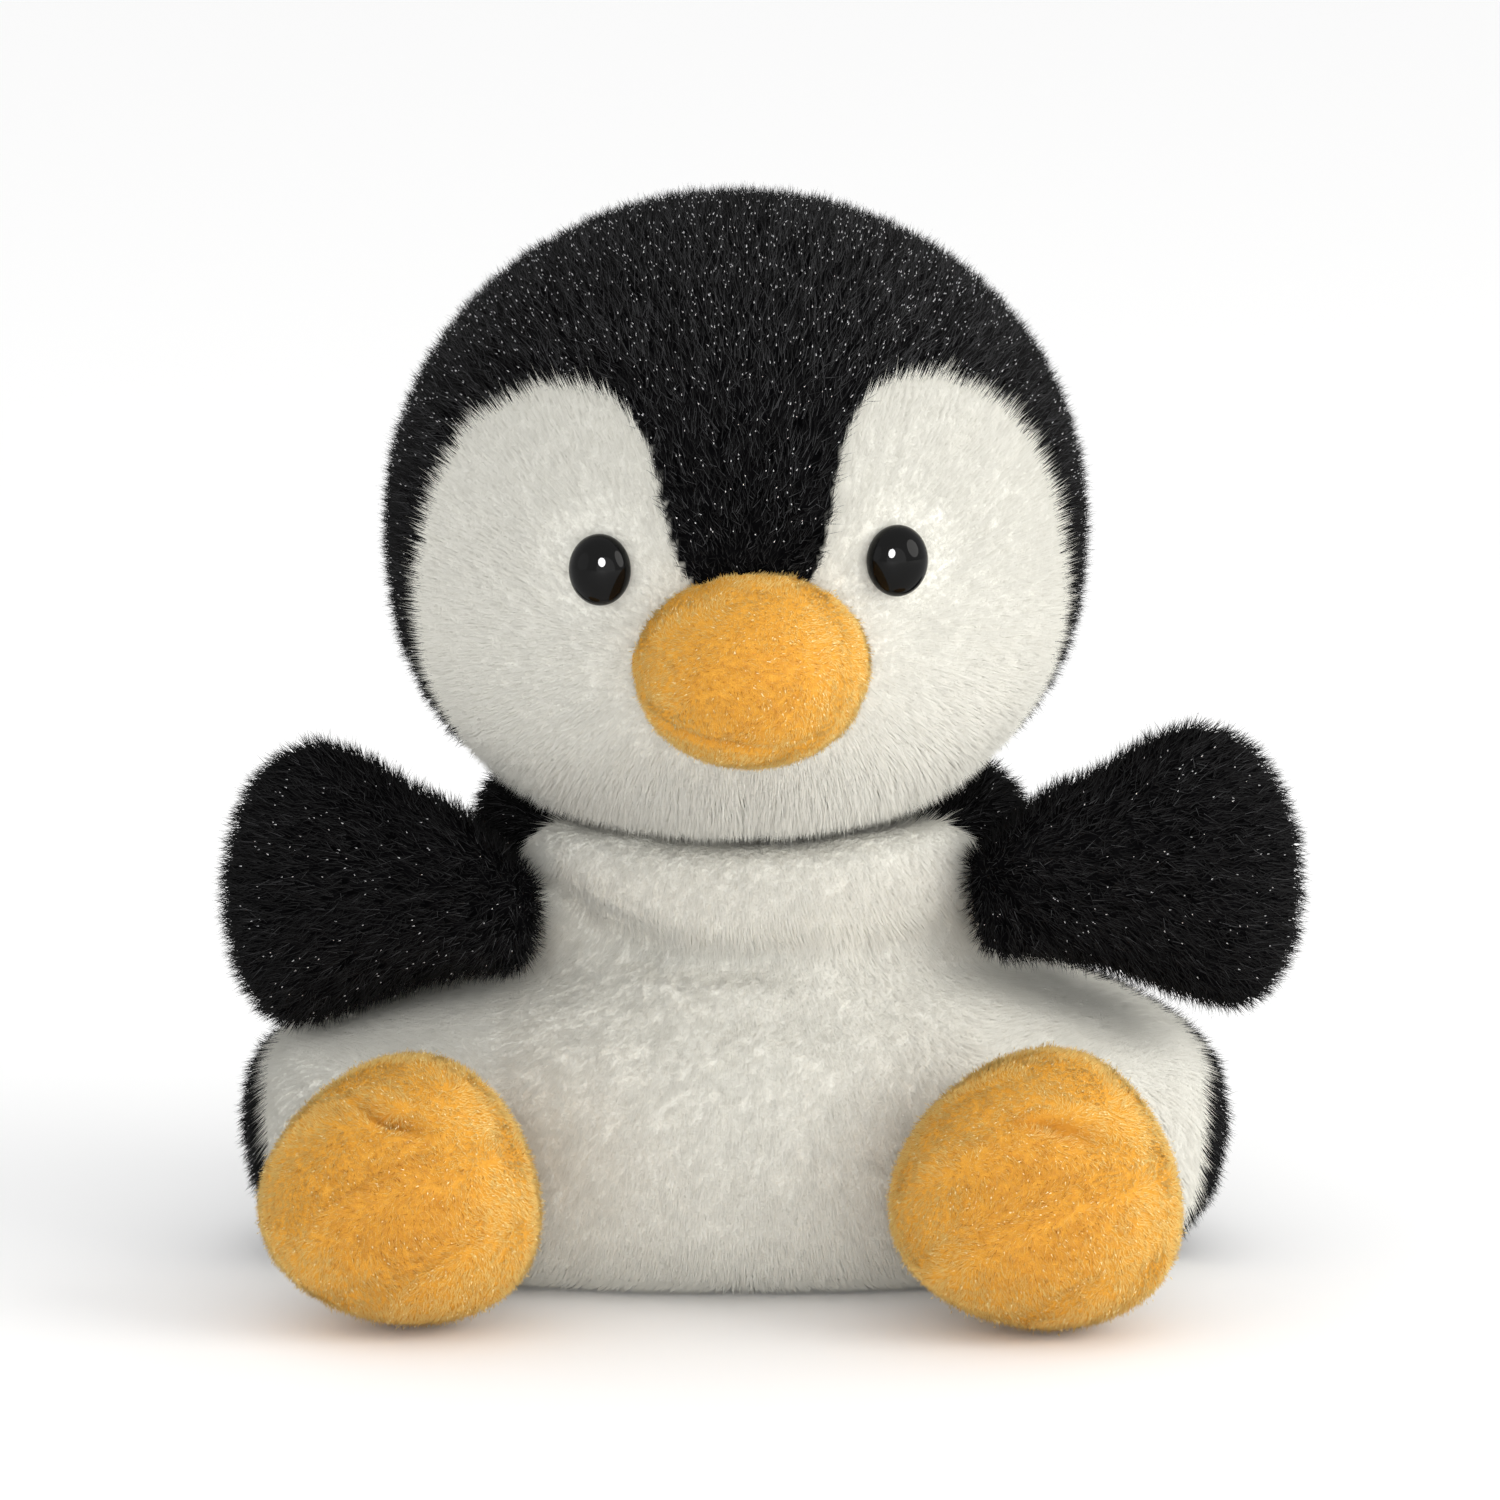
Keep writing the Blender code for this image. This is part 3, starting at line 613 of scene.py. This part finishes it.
BLACK_TONES = ((0.0015, 0.0015, 0.0017), (0.004, 0.004, 0.0044))
WHITE_TONES = ((0.78, 0.765, 0.69), (0.86, 0.848, 0.775))
ORANGE_TONES = ((0.72, 0.335, 0.046), (0.78, 0.385, 0.061))
BLACK_CLOTH = cloth_material("cloth_black", *BLACK_TONES, 400, 0.6)
WHITE_CLOTH = cloth_material("cloth_white", *WHITE_TONES, 400, 0.5)
PATCHED_CLOTH = cloth_material("cloth_patched", *BLACK_TONES, 400, 0.6, WHITE_TONES)
ORANGE_CLOTH = cloth_material("cloth_orange", *ORANGE_TONES, 1600, 0.5)
EYE_GLOSS = principled("eye_gloss_black", (0.003, 0.003, 0.003), 0.03, Specular_IOR_Level=0.14)

# Folds and creases: (x, z) shares of the piece's box seen from the front, then the
# fold's half width and its depth.
BODY_FOLDS = [
    ([(0.30, 0.84), (0.315, 0.79), (0.35, 0.745), (0.42, 0.71)], 2.6 * MM, 3.0 * MM),
    ([(0.36, 0.725), (0.41, 0.70), (0.48, 0.69), (0.56, 0.69)], 2.0 * MM, 2.4 * MM),
    ([(0.52, 0.70), (0.64, 0.705), (0.74, 0.74)], 1.9 * MM, 1.5 * MM),
    ([(0.36, 0.60), (0.46, 0.575), (0.58, 0.575), (0.68, 0.60)], 2.4 * MM, 0.8 * MM),
    ([(0.30, 0.68), (0.24, 0.66), (0.18, 0.61)], 2.0 * MM, 0.8 * MM),
]
FOOT_CREASES = {
    "left": [([(0.32, 0.89), (0.45, 0.83), (0.62, 0.79)], 1.1 * MM, 2.6 * MM)],
    "right": [([(0.36, 0.82), (0.56, 0.79), (0.78, 0.71)], 1.1 * MM, 2.6 * MM)],
}
BEAK_CREASES = [
    ([(0.08, 0.30), (0.24, 0.235), (0.42, 0.19), (0.62, 0.175)], 0.65 * MM, 1.6 * MM),
    ([(0.60, 0.17), (0.74, 0.20), (0.86, 0.26)], 0.55 * MM, 0.35 * MM),
]


# ---------------------------------------------------------------- black and white plush

HEAD_PANELS = [
    "head_crown_gusset",
    "head_side_left",
    "head_side_right",
    "face_left",
    "face_right",
]
HEAD_FUR = [
    "head_crown_fur",
    "head_side_left_fur",
    "head_side_right_fur",
    "face_left_fur",
    "face_right_fur",
]
FACES = {3: "face_left", 4: "face_right"}
BODY_PANELS = ["belly_panel", "back_panel_left", "back_panel_right", "base_panel"]
BODY_FUR = ["belly_fur", "back_left_fur", "back_right_fur", "base_fur"]
BELLY = 0
BASE = 3


def patched(skin, table, white):
    """Blend the backing cloth from black to white across the patch seams."""
    nearest_white = table[:, white].min(axis=1)
    black = [k for k in range(table.shape[1]) if k not in white]
    nearest_black = table[:, black].min(axis=1)
    share = smooth_step(nearest_black - nearest_white, -CLOTH_BLEND, CLOTH_BLEND)
    colours = np.ones((len(share), 4))
    colours[:, :3] = share[:, None]
    layer = skin.data.color_attributes.new("patch", "FLOAT_COLOR", "POINT")
    layer.data.foreach_set("color", colours.ravel())
    skin.data.materials.append(PATCHED_CLOTH)


def panel_pile(surface, rooted, pale, edge, flow, rng):
    """Roots, normals, directions and lengths of the pile that grows on one panel."""
    if pale:
        lean, spread, tufting = math.radians(55), 0.18, 0.03
    else:
        lean, spread, tufting = math.radians(42), 0.36, 0.26
    grown = groomed(surface, *rooted, flow, lean, spread, tufting, rng)
    lengths = PILE * rng.uniform(0.72, 1.12, len(edge))
    if pale:
        lengths *= 0.95 + 0.55 * edge * rng.random(len(edge)) ** 2
    return [*grown, lengths]


def plush_fur(skin, panels, white, density, body, names, flow, trim, overlap, seed):
    """Black and white pile over a patched skin, one or more fur objects per panel.

    flow gives the way the pile lies, per point and panel. trim, where there is one,
    changes the hairs' lengths in place and says which hairs to keep. overlap gives, per
    skin point, how far the white patch reaches past its seam.
    """
    rng = np.random.default_rng(seed)
    surface = Surface(skin)
    table = panel_distances(surface.points, panels)
    table[:, white] -= overlap(surface.points)[:, None]
    patched(skin, table, white)
    top = cad_box[1][2]
    for index, name in enumerate(names):
        pale = index in white
        chosen, weights = surface.scatter(density[1] if pale else density[0], rng)
        columns = [surface.read(table[:, k], chosen, weights) for k in range(len(panels))]
        distance = np.stack(columns, axis=1)
        mine = distance.argmin(axis=1) == index
        distance = distance[mine]
        others = [k for k in range(len(panels)) if (k in white) != pale]
        border = distance[:, others].min(axis=1) - distance[:, index]
        edge = 1 - smooth_step(border, 0.0, BORDER_REACH)
        rooted = (chosen[mine], weights[mine])
        pile = panel_pile(surface, rooted, pale, edge, lambda p: flow(p, index), rng)
        roots, normals, directions, lengths = pile
        keep = normals[:, 2] > LOWEST_FACE
        if trim:
            keep &= trim(roots, lengths)
        keep &= border > (0.0 if pale else BLACK_BORDER)
        count = int(keep.sum())
        crown = smooth_step(roots[keep][:, 2], top - CROWN_DEPTH, top)
        mix = np.tile(WHITE_MIX if pale else BLACK_MIX, (count, 1))
        if not pale:
            # Painted sheen: more grey hairs toward the crown.
            mix[:, 2] += CROWN_SHEEN * crown
        shades = shade_by(rng.random(count), mix)
        widths = (WHITE_WIDTH if pale else BLACK_WIDTH) * rng.uniform(0.7, 1.25, count)
        facing = normals[keep].copy()
        if pale:
            facing[:, 2] = np.maximum(facing[:, 2], HANGING_FACE)
            facing = unit(facing)
        hairs = [roots[keep], facing, directions[keep], lengths[keep], widths, shades]
        if not pale:
            # More painted glints toward the crown.
            share = BLACK_PAINTED_GLINTS + CROWN_PAINTED_GLINTS * crown
            hairs = with_painted_glints(hairs, share, BLACK_GLINT_SHADE, GLINT, rng)
        look = WHITE_LOOK if pale else BLACK_LOOK
        parts = -(-len(hairs[0]) // MOST_HAIRS)
        for part in range(parts):
            label = name if parts == 1 else f"{name}_{part + 1}"
            fur_piece(label, body, [h[part::parts] for h in hairs], look)


# ---------------------------------------------------------------- head

EYE_GAP = 3.1 * MM
EYE_SOCKET_WIDTH = 6.0 * MM
EYE_SOCKET_DEPTH = 1.1 * MM
EYE_HALF_WIDTH = 3.5 * MM
EYE_HALF_HEIGHT = 4.05 * MM
EYE_BULGE = 2.5 * MM
EYE_SUNK = 2.2 * MM


def head_skin():
    skin = remeshed(closed_hull("head_skin", HEAD_PANELS), PLUSH_VOXEL, 4)
    table = panel_distances(coords(skin.data), HEAD_PANELS)
    puffed(skin, seam_weights(table, 3.5 * MM), 1.2 * MM)
    grooved(skin, seam_weights(table, 2.4 * MM), 0.40 * MM)
    for side in SIDES:
        middle, _ = middle_and_half(["eye_" + side])
        socket = middle + np.outer([-1.0, 1.0], UP) * 0.8 * MM
        dented(skin, socket, EYE_SOCKET_WIDTH, EYE_SOCKET_DEPTH)
    subdivided(skin)
    covered(skin, "head", None, HEAD_PANELS + ["head_stuffing"])
    return skin


def head_fur(skin):
    beak_centre, beak_half = middle_and_half(["beak_upper", "beak_lower"])
    patch_centres = {k: middle_and_half([name])[0] for k, name in FACES.items()}
    eye_centres = [middle_and_half(["eye_" + side])[0] for side in SIDES]
    chin_low = node_box("face_left")[0][2]

    def near_chin(points):
        low = 1 - smooth_step(points[:, 2], chin_low + 5 * MM, chin_low + 13 * MM)
        return low * (1 - smooth_step(points[:, 1], -12 * MM, 2 * MM))

    def flow(points, index):
        """The pile runs away from the beak, and down at the chin."""
        away = unit(points - beak_centre)
        if index in patch_centres:
            away = away + 0.4 * unit(points - patch_centres[index])
        return away - 0.8 * near_chin(points)[:, None] * UP

    def trim(roots, lengths):
        """No hair under the beak and the eyes, short hair round them, long at the chin."""
        share = (roots - beak_centre) / beak_half
        reach = np.sqrt(share[:, 0] ** 2 + share[:, 2] ** 2)
        front = roots[:, 1] < 0
        keep = (reach > 0.93) | ~front
        lengths *= 1 + 0.7 * near_chin(roots)
        lengths *= np.where(front, 1 - 0.3 * (1 - smooth_step(reach, 0.9, 1.4)), 1)
        for centre in eye_centres:
            gap = np.linalg.norm((roots - centre)[:, [0, 2]], axis=1)
            keep &= (gap > EYE_GAP) | ~front
            near = np.linalg.norm(roots - centre, axis=1)
            lengths *= 1 - 0.5 * (1 - smooth_step(near, 4.0 * MM, 8.5 * MM))
        return keep

    def overlap(points):
        """White reaches back under the chin."""
        under = 1 - smooth_step(points[:, 2], chin_low + 3 * MM, chin_low + 12 * MM)
        front = 1 - smooth_step(points[:, 1], -6 * MM, 12 * MM)
        return 24 * MM * under * front

    density = (HEAD_BLACK_DENSITY, HEAD_WHITE_DENSITY)
    white = list(FACES)
    plush_fur(
        skin, HEAD_PANELS, white, density, "head", HEAD_FUR, flow, trim, overlap, SEED
    )


def eye(side):
    """A glossy slightly oval dome facing outward where the CAD eye sits."""
    node = "eye_" + side
    points, _ = node_points(node)
    stem_end = points[points[:, 1].argmax()]
    low, _ = node_box(node)
    front = points[points[:, 1] < low[1] + 1.2 * MM].mean(axis=0)
    axis = unit(front - np.array([stem_end[0], stem_end[1], front[2]]))
    bm = bmesh.new()
    bmesh.ops.create_uvsphere(bm, u_segments=64, v_segments=32, radius=1.0)
    bmesh.ops.delete(bm, geom=[v for v in bm.verts if v.co.z < -0.35], context="VERTS")
    mesh = bpy.data.meshes.new(node + "_dome")
    bm.to_mesh(mesh)
    bm.free()
    ob = add_object(node + "_dome", mesh)
    ball = coords(mesh)
    across = unit(np.cross(axis, UP))
    upward = np.cross(across, axis)
    shaped = front - axis * EYE_SUNK + ball[:, :1] * across * EYE_HALF_WIDTH
    shaped += ball[:, 1:2] * upward * EYE_HALF_HEIGHT + ball[:, 2:3] * axis * EYE_BULGE
    set_coords(mesh, shaped)
    mesh.polygons.foreach_set("use_smooth", [True] * len(mesh.polygons))
    mesh.materials.append(EYE_GLOSS)
    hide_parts(node)
    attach(ob, "head")


def eye_washer(side):
    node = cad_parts["eye_washer_" + side]
    plastic = principled(f"eye_washer_{side}_plastic", (0.7, 0.7, 0.68), 0.4)
    node.data.materials.clear()
    node.data.materials.append(plastic)


# ---------------------------------------------------------------- body and neck

HIP_HEIGHT = (20 * MM, 27 * MM)
HIP_SIDE = (20 * MM, 30 * MM)
WAIST = 34 * MM
COLLAR_HEIGHT = (44 * MM, 49 * MM)
SHOULDER_HEIGHT = (42 * MM, 47 * MM)


def body_skin():
    nodes = BODY_PANELS + ["body_stuffing", "pellet_bag"]
    skin = remeshed(joined("body_skin", nodes), PLUSH_VOXEL, 7)
    table = panel_distances(coords(skin.data), BODY_PANELS)
    on_floor = 1 - smooth_step(coords(skin.data)[:, 2], 0.5 * MM, 4 * MM)
    puffed(skin, np.maximum(seam_weights(table, 3.0 * MM), on_floor), 1.2 * MM)
    low, high = boxes(BODY_PANELS)
    points = coords(skin.data)
    collar_front = smooth_step(points[:, 2], *COLLAR_HEIGHT)
    collar_front *= 1 - smooth_step(points[:, 1], -14 * MM, -6 * MM)
    points += np.outer(collar_front, [0.0, -0.8 * MM, 1.4 * MM])
    set_coords(skin.data, points)
    for places, width, depth in BODY_FOLDS:
        dented(skin, on_front(skin, low, high, places), width, depth)
    subdivided(skin)
    covered(skin, "torso", None, nodes + ["pellet_fill"])
    return skin


def body_fur(skin):
    low, high = boxes(BODY_PANELS)
    above = np.array([0.0, (low[1] + high[1]) / 2, high[2] * 1.15])

    def hip_top(height, fade):
        return smooth_step(height, *HIP_HEIGHT) * (1 - smooth_step(height, WAIST, fade))

    def flow(points, index):
        """The pile runs down the body, and up on the hips' tops."""
        down = unit(points - above)
        if index != BELLY:
            return down
        side = smooth_step(np.abs(points[:, 0]), *HIP_SIDE)
        lift = 1.4 * hip_top(points[:, 2], 38 * MM) * side
        return down + lift[:, None] * UP

    def overlap(points):
        """White reaches out over the hips' tops and draws in at the shoulders."""
        shoulder = smooth_step(points[:, 2], *SHOULDER_HEIGHT)
        return 5 * MM * hip_top(points[:, 2], 40 * MM) - 3 * MM * shoulder

    density = (BODY_BLACK_DENSITY, BODY_WHITE_DENSITY)
    white = [BELLY, BASE]
    plush_fur(
        skin, BODY_PANELS, white, density, "torso", BODY_FUR, flow, None, overlap, BODY_SEED
    )


def neck():
    rng = np.random.default_rng(NECK_SEED)
    skin = remeshed(closed_hull("neck_skin", ["neck_pad"]), NECK_VOXEL, 2)
    subdivided(skin)
    covered(skin, "neck", WHITE_CLOTH, ["neck_pad"])
    surface = Surface(skin)
    middle = surface.points.mean(axis=0) - 3 * MM * UP
    rooted = surface.scatter(NECK_DENSITY, rng)
    lean = math.radians(35)
    grown = groomed(surface, *rooted, lambda p: p - middle, lean, 0.3, 0.1, rng)
    up = grown[1][:, 2] > -0.3
    roots, normals, directions = (part[up] for part in grown)
    count = len(roots)
    hairs = [
        roots,
        unit(normals * np.array([1.0, 1.0, 0.3]) + np.array([0, -0.5, 0.2])),
        directions,
        1.4 * PILE * rng.uniform(0.8, 1.1, count),
        WHITE_WIDTH * rng.uniform(0.8, 1.3, count),
        shade_by(rng.random(count), np.tile(WHITE_MIX, (count, 1))),
    ]
    fur_piece("neck_fur", "neck", hairs, WHITE_LOOK)


# ---------------------------------------------------------------- flippers

def wing(side):
    rng = np.random.default_rng(WING_SEEDS[side])
    name = "wing_" + side
    panels = [name + "_front", name + "_back"]
    nodes = panels + [name + "_stuffing"]
    skin = remeshed(joined(name + "_skin", nodes), WING_VOXEL, 3)
    table = panel_distances(coords(skin.data), panels)
    puffed(skin, seam_weights(table, 2.5 * MM), 0.9 * MM)
    low, high = boxes(panels)
    shoulder = (low + high) / 2
    shoulder[0] = high[0] if side == "left" else low[0]
    # The upper corner of the root is drawn down, so the flipper narrows to the body.
    points = coords(skin.data)
    near = 1 - smooth_step(np.abs(points[:, 0] - shoulder[0]), 0.0, 11 * MM)
    above = points[:, 2] - shoulder[2] + 1.5 * MM
    points[:, 2] -= np.maximum(above, 0) * 0.55 * near
    set_coords(skin.data, points)
    subdivided(skin)
    covered(skin, name, BLACK_CLOTH, nodes)
    surface = Surface(skin)
    rooted = surface.scatter(WING_DENSITY, rng)
    lean = math.radians(40)
    grown = groomed(surface, *rooted, lambda p: p - shoulder, lean, 0.38, 0.26, rng)
    count = len(grown[0])
    hairs = [
        *grown,
        PILE * rng.uniform(0.75, 1.15, count),
        BLACK_WIDTH * rng.uniform(0.7, 1.25, count),
        shade_by(rng.random(count), np.tile(WING_MIX, (count, 1))),
    ]
    # Painted glints on the flipper's pile.
    hairs = with_painted_glints(hairs, WING_PAINTED_GLINTS, BLACK_GLINT_SHADE, GLINT, rng)
    fur_piece(name + "_fur", name, hairs, BLACK_LOOK)


# ---------------------------------------------------------------- feet and beak

# How much narrower a foot is at its top than at its middle.
FOOT_TAPER = 0.17
# How fast the lie of the short pile wanders, in radians per metre.
SWIRLS_PER_METRE = 420


def tapered(skin, low, high, taper):
    """Narrow a pad toward its top, so it is egg-shaped from the front."""
    points = coords(skin.data)
    share = (points - (low + high) / 2) / ((high - low) / 2)
    across = share[:, 0] * (1 - taper * share[:, 2]) + 0.65 * taper * share[:, 2] ** 2
    points[:, 0] += (across - share[:, 0]) * (high[0] - low[0]) / 2
    set_coords(skin.data, points)


def orange_pad(name, body, parts, voxel, pile, creases, taper=0.0):
    """A short-piled orange pad of two halves over a stuffing: a foot or the beak."""
    rng = np.random.default_rng(SEED + sum(map(ord, name)))
    halves = [f"{name}_{part}" for part in parts]
    nodes = halves + [name + "_stuffing"]
    skin = remeshed(joined(name + "_skin", nodes), voxel, 3)
    table = panel_distances(coords(skin.data), halves)
    puffed(skin, seam_weights(table, 1.8 * MM), 0.8 * MM)
    grooved(skin, seam_weights(table, 1.2 * MM), 0.25 * MM)
    low, high = boxes(halves)
    if taper:
        tapered(skin, low, high, taper)
    subdivided(skin)
    for places, width, depth in creases:
        dented(skin, on_front(skin, low, high, places), width, depth)
    covered(skin, body, ORANGE_CLOTH, nodes)
    surface = Surface(skin)
    middle, half = middle_and_half(halves)
    rooted = surface.scatter(PAD_DENSITY, rng)
    swirl = np.random.default_rng(SWIRL_SEED).normal(size=(3, 3)) * SWIRLS_PER_METRE

    def flow(p):
        """The pile runs outward and down, with wandering patches."""
        wander = np.stack([np.sin(p @ swirl[k] + k) for k in range(3)], axis=1)
        return unit(p - middle) * 0.5 - UP * 0.6 + wander * 0.7

    grown = groomed(surface, *rooted, flow, math.radians(45), 0.42, 0.32, rng)
    share = (grown[0] - middle) / half
    rim = np.sqrt(share[:, 0] ** 2 + share[:, 2] ** 2)
    # The pile pales toward the rim: painted sheen.
    pale = smooth_step(rim, 0.28, 0.82)[:, None]
    mix = np.array(PAD_MIDDLE_MIX) * (1 - pale) + np.array(PAD_RIM_SHEEN_MIX) * pale
    count = len(rim)
    hairs = [
        *grown,
        pile * rng.uniform(0.7, 1.2, count),
        PAD_WIDTH * rng.uniform(0.7, 1.3, count),
        shade_by(rng.random(count), mix),
    ]
    # Painted glints near the tips of the short pile.
    hairs = with_painted_glints(hairs, PAD_PAINTED_GLINTS, ORANGE_GLINT_SHADE, PAD_GLINT, rng)
    fur_piece(name + "_fur", body, hairs, ORANGE_LOOK)


# ---------------------------------------------------------------- camera, light and floor

AIM = Vector((1.16 * MM, 0.0, 59.8 * MM))
CAMERA_TILT = math.radians(10)
CAMERA_DISTANCE = 1.1
VIEW_WIDTH = 173.3 * MM
SENSOR_MM = 36
FLOOR_HALF = 4.0
LIT_POINT = Vector((0, 0, 0.06))
# Name, diameter, watts, place, colour, and whether it lights matt surfaces.
LAMPS = [
    ("catch", 0.40, 42.0, (-0.06, -1.15, 0.36), (1, 1, 1), False),
    ("soft_right", 0.8, 6.5, (1.0, -0.50, 0.5), (1.0, 0.985, 0.95), True),
    ("low_front", 0.9, 2.3, (0.15, -0.9, 0.05), (1, 1, 1), True),
    ("soft_left", 0.8, 0.6, (-1.0, -0.6, 0.3), (0.96, 0.98, 1.0), True),
]


def camera():
    scene = bpy.context.scene
    cam = bpy.data.cameras.new("camera")
    cam.sensor_width = SENSOR_MM
    cam.lens = SENSOR_MM * CAMERA_DISTANCE / VIEW_WIDTH
    cam.clip_start = 0.05
    cam.clip_end = 20
    ob = bpy.data.objects.new("camera", cam)
    scene.collection.objects.link(ob)
    back = Vector((0, -math.cos(CAMERA_TILT), math.sin(CAMERA_TILT)))
    ob.location = AIM + CAMERA_DISTANCE * back
    ob.rotation_euler = (math.radians(90) - CAMERA_TILT, 0, 0)
    scene.camera = ob
    scene.view_settings.view_transform = "Standard"


def daylight():
    world = bpy.data.worlds.new("studio")
    world.use_nodes = True
    background = world.node_tree.nodes["Background"]
    background.inputs["Color"].default_value = (1, 1, 1, 1)
    background.inputs["Strength"].default_value = 1.0
    bpy.context.scene.world = world


def lamp(name, size, energy, place, colour, diffuse):
    light = bpy.data.lights.new(name, "AREA")
    light.shape = "DISK"
    light.size = size
    light.energy = energy
    light.color = colour
    item = bpy.data.objects.new(name, light)
    bpy.context.scene.collection.objects.link(item)
    item.location = place
    aim = LIT_POINT - Vector(place)
    item.rotation_euler = aim.to_track_quat("-Z", "Y").to_euler()
    item.visible_diffuse = diffuse


def paper_floor():
    r = FLOOR_HALF
    mesh = bpy.data.meshes.new("floor")
    mesh.from_pydata([(-r, -r, 0), (r, -r, 0), (r, r, 0), (-r, r, 0)], [], [(0, 1, 2, 3)])
    mesh.materials.append(principled("floor_paper", (0.93, 0.93, 0.93), 0.9))
    add_object("floor", mesh)


# ---------------------------------------------------------------- the whole penguin

camera()
daylight()
for lamp_values in LAMPS:
    lamp(*lamp_values)
paper_floor()

head_fur(head_skin())
body_fur(body_skin())
neck()
for side in SIDES:
    wing(side)
    foot = "foot_" + side
    halves = ("sole", "heel")
    orange_pad(foot, foot, halves, FOOT_VOXEL, PAD_PILE, FOOT_CREASES[side], FOOT_TAPER)
    eye(side)
    eye_washer(side)
orange_pad("beak", "head", ("upper", "lower"), BEAK_VOXEL, BEAK_PILE, BEAK_CREASES)
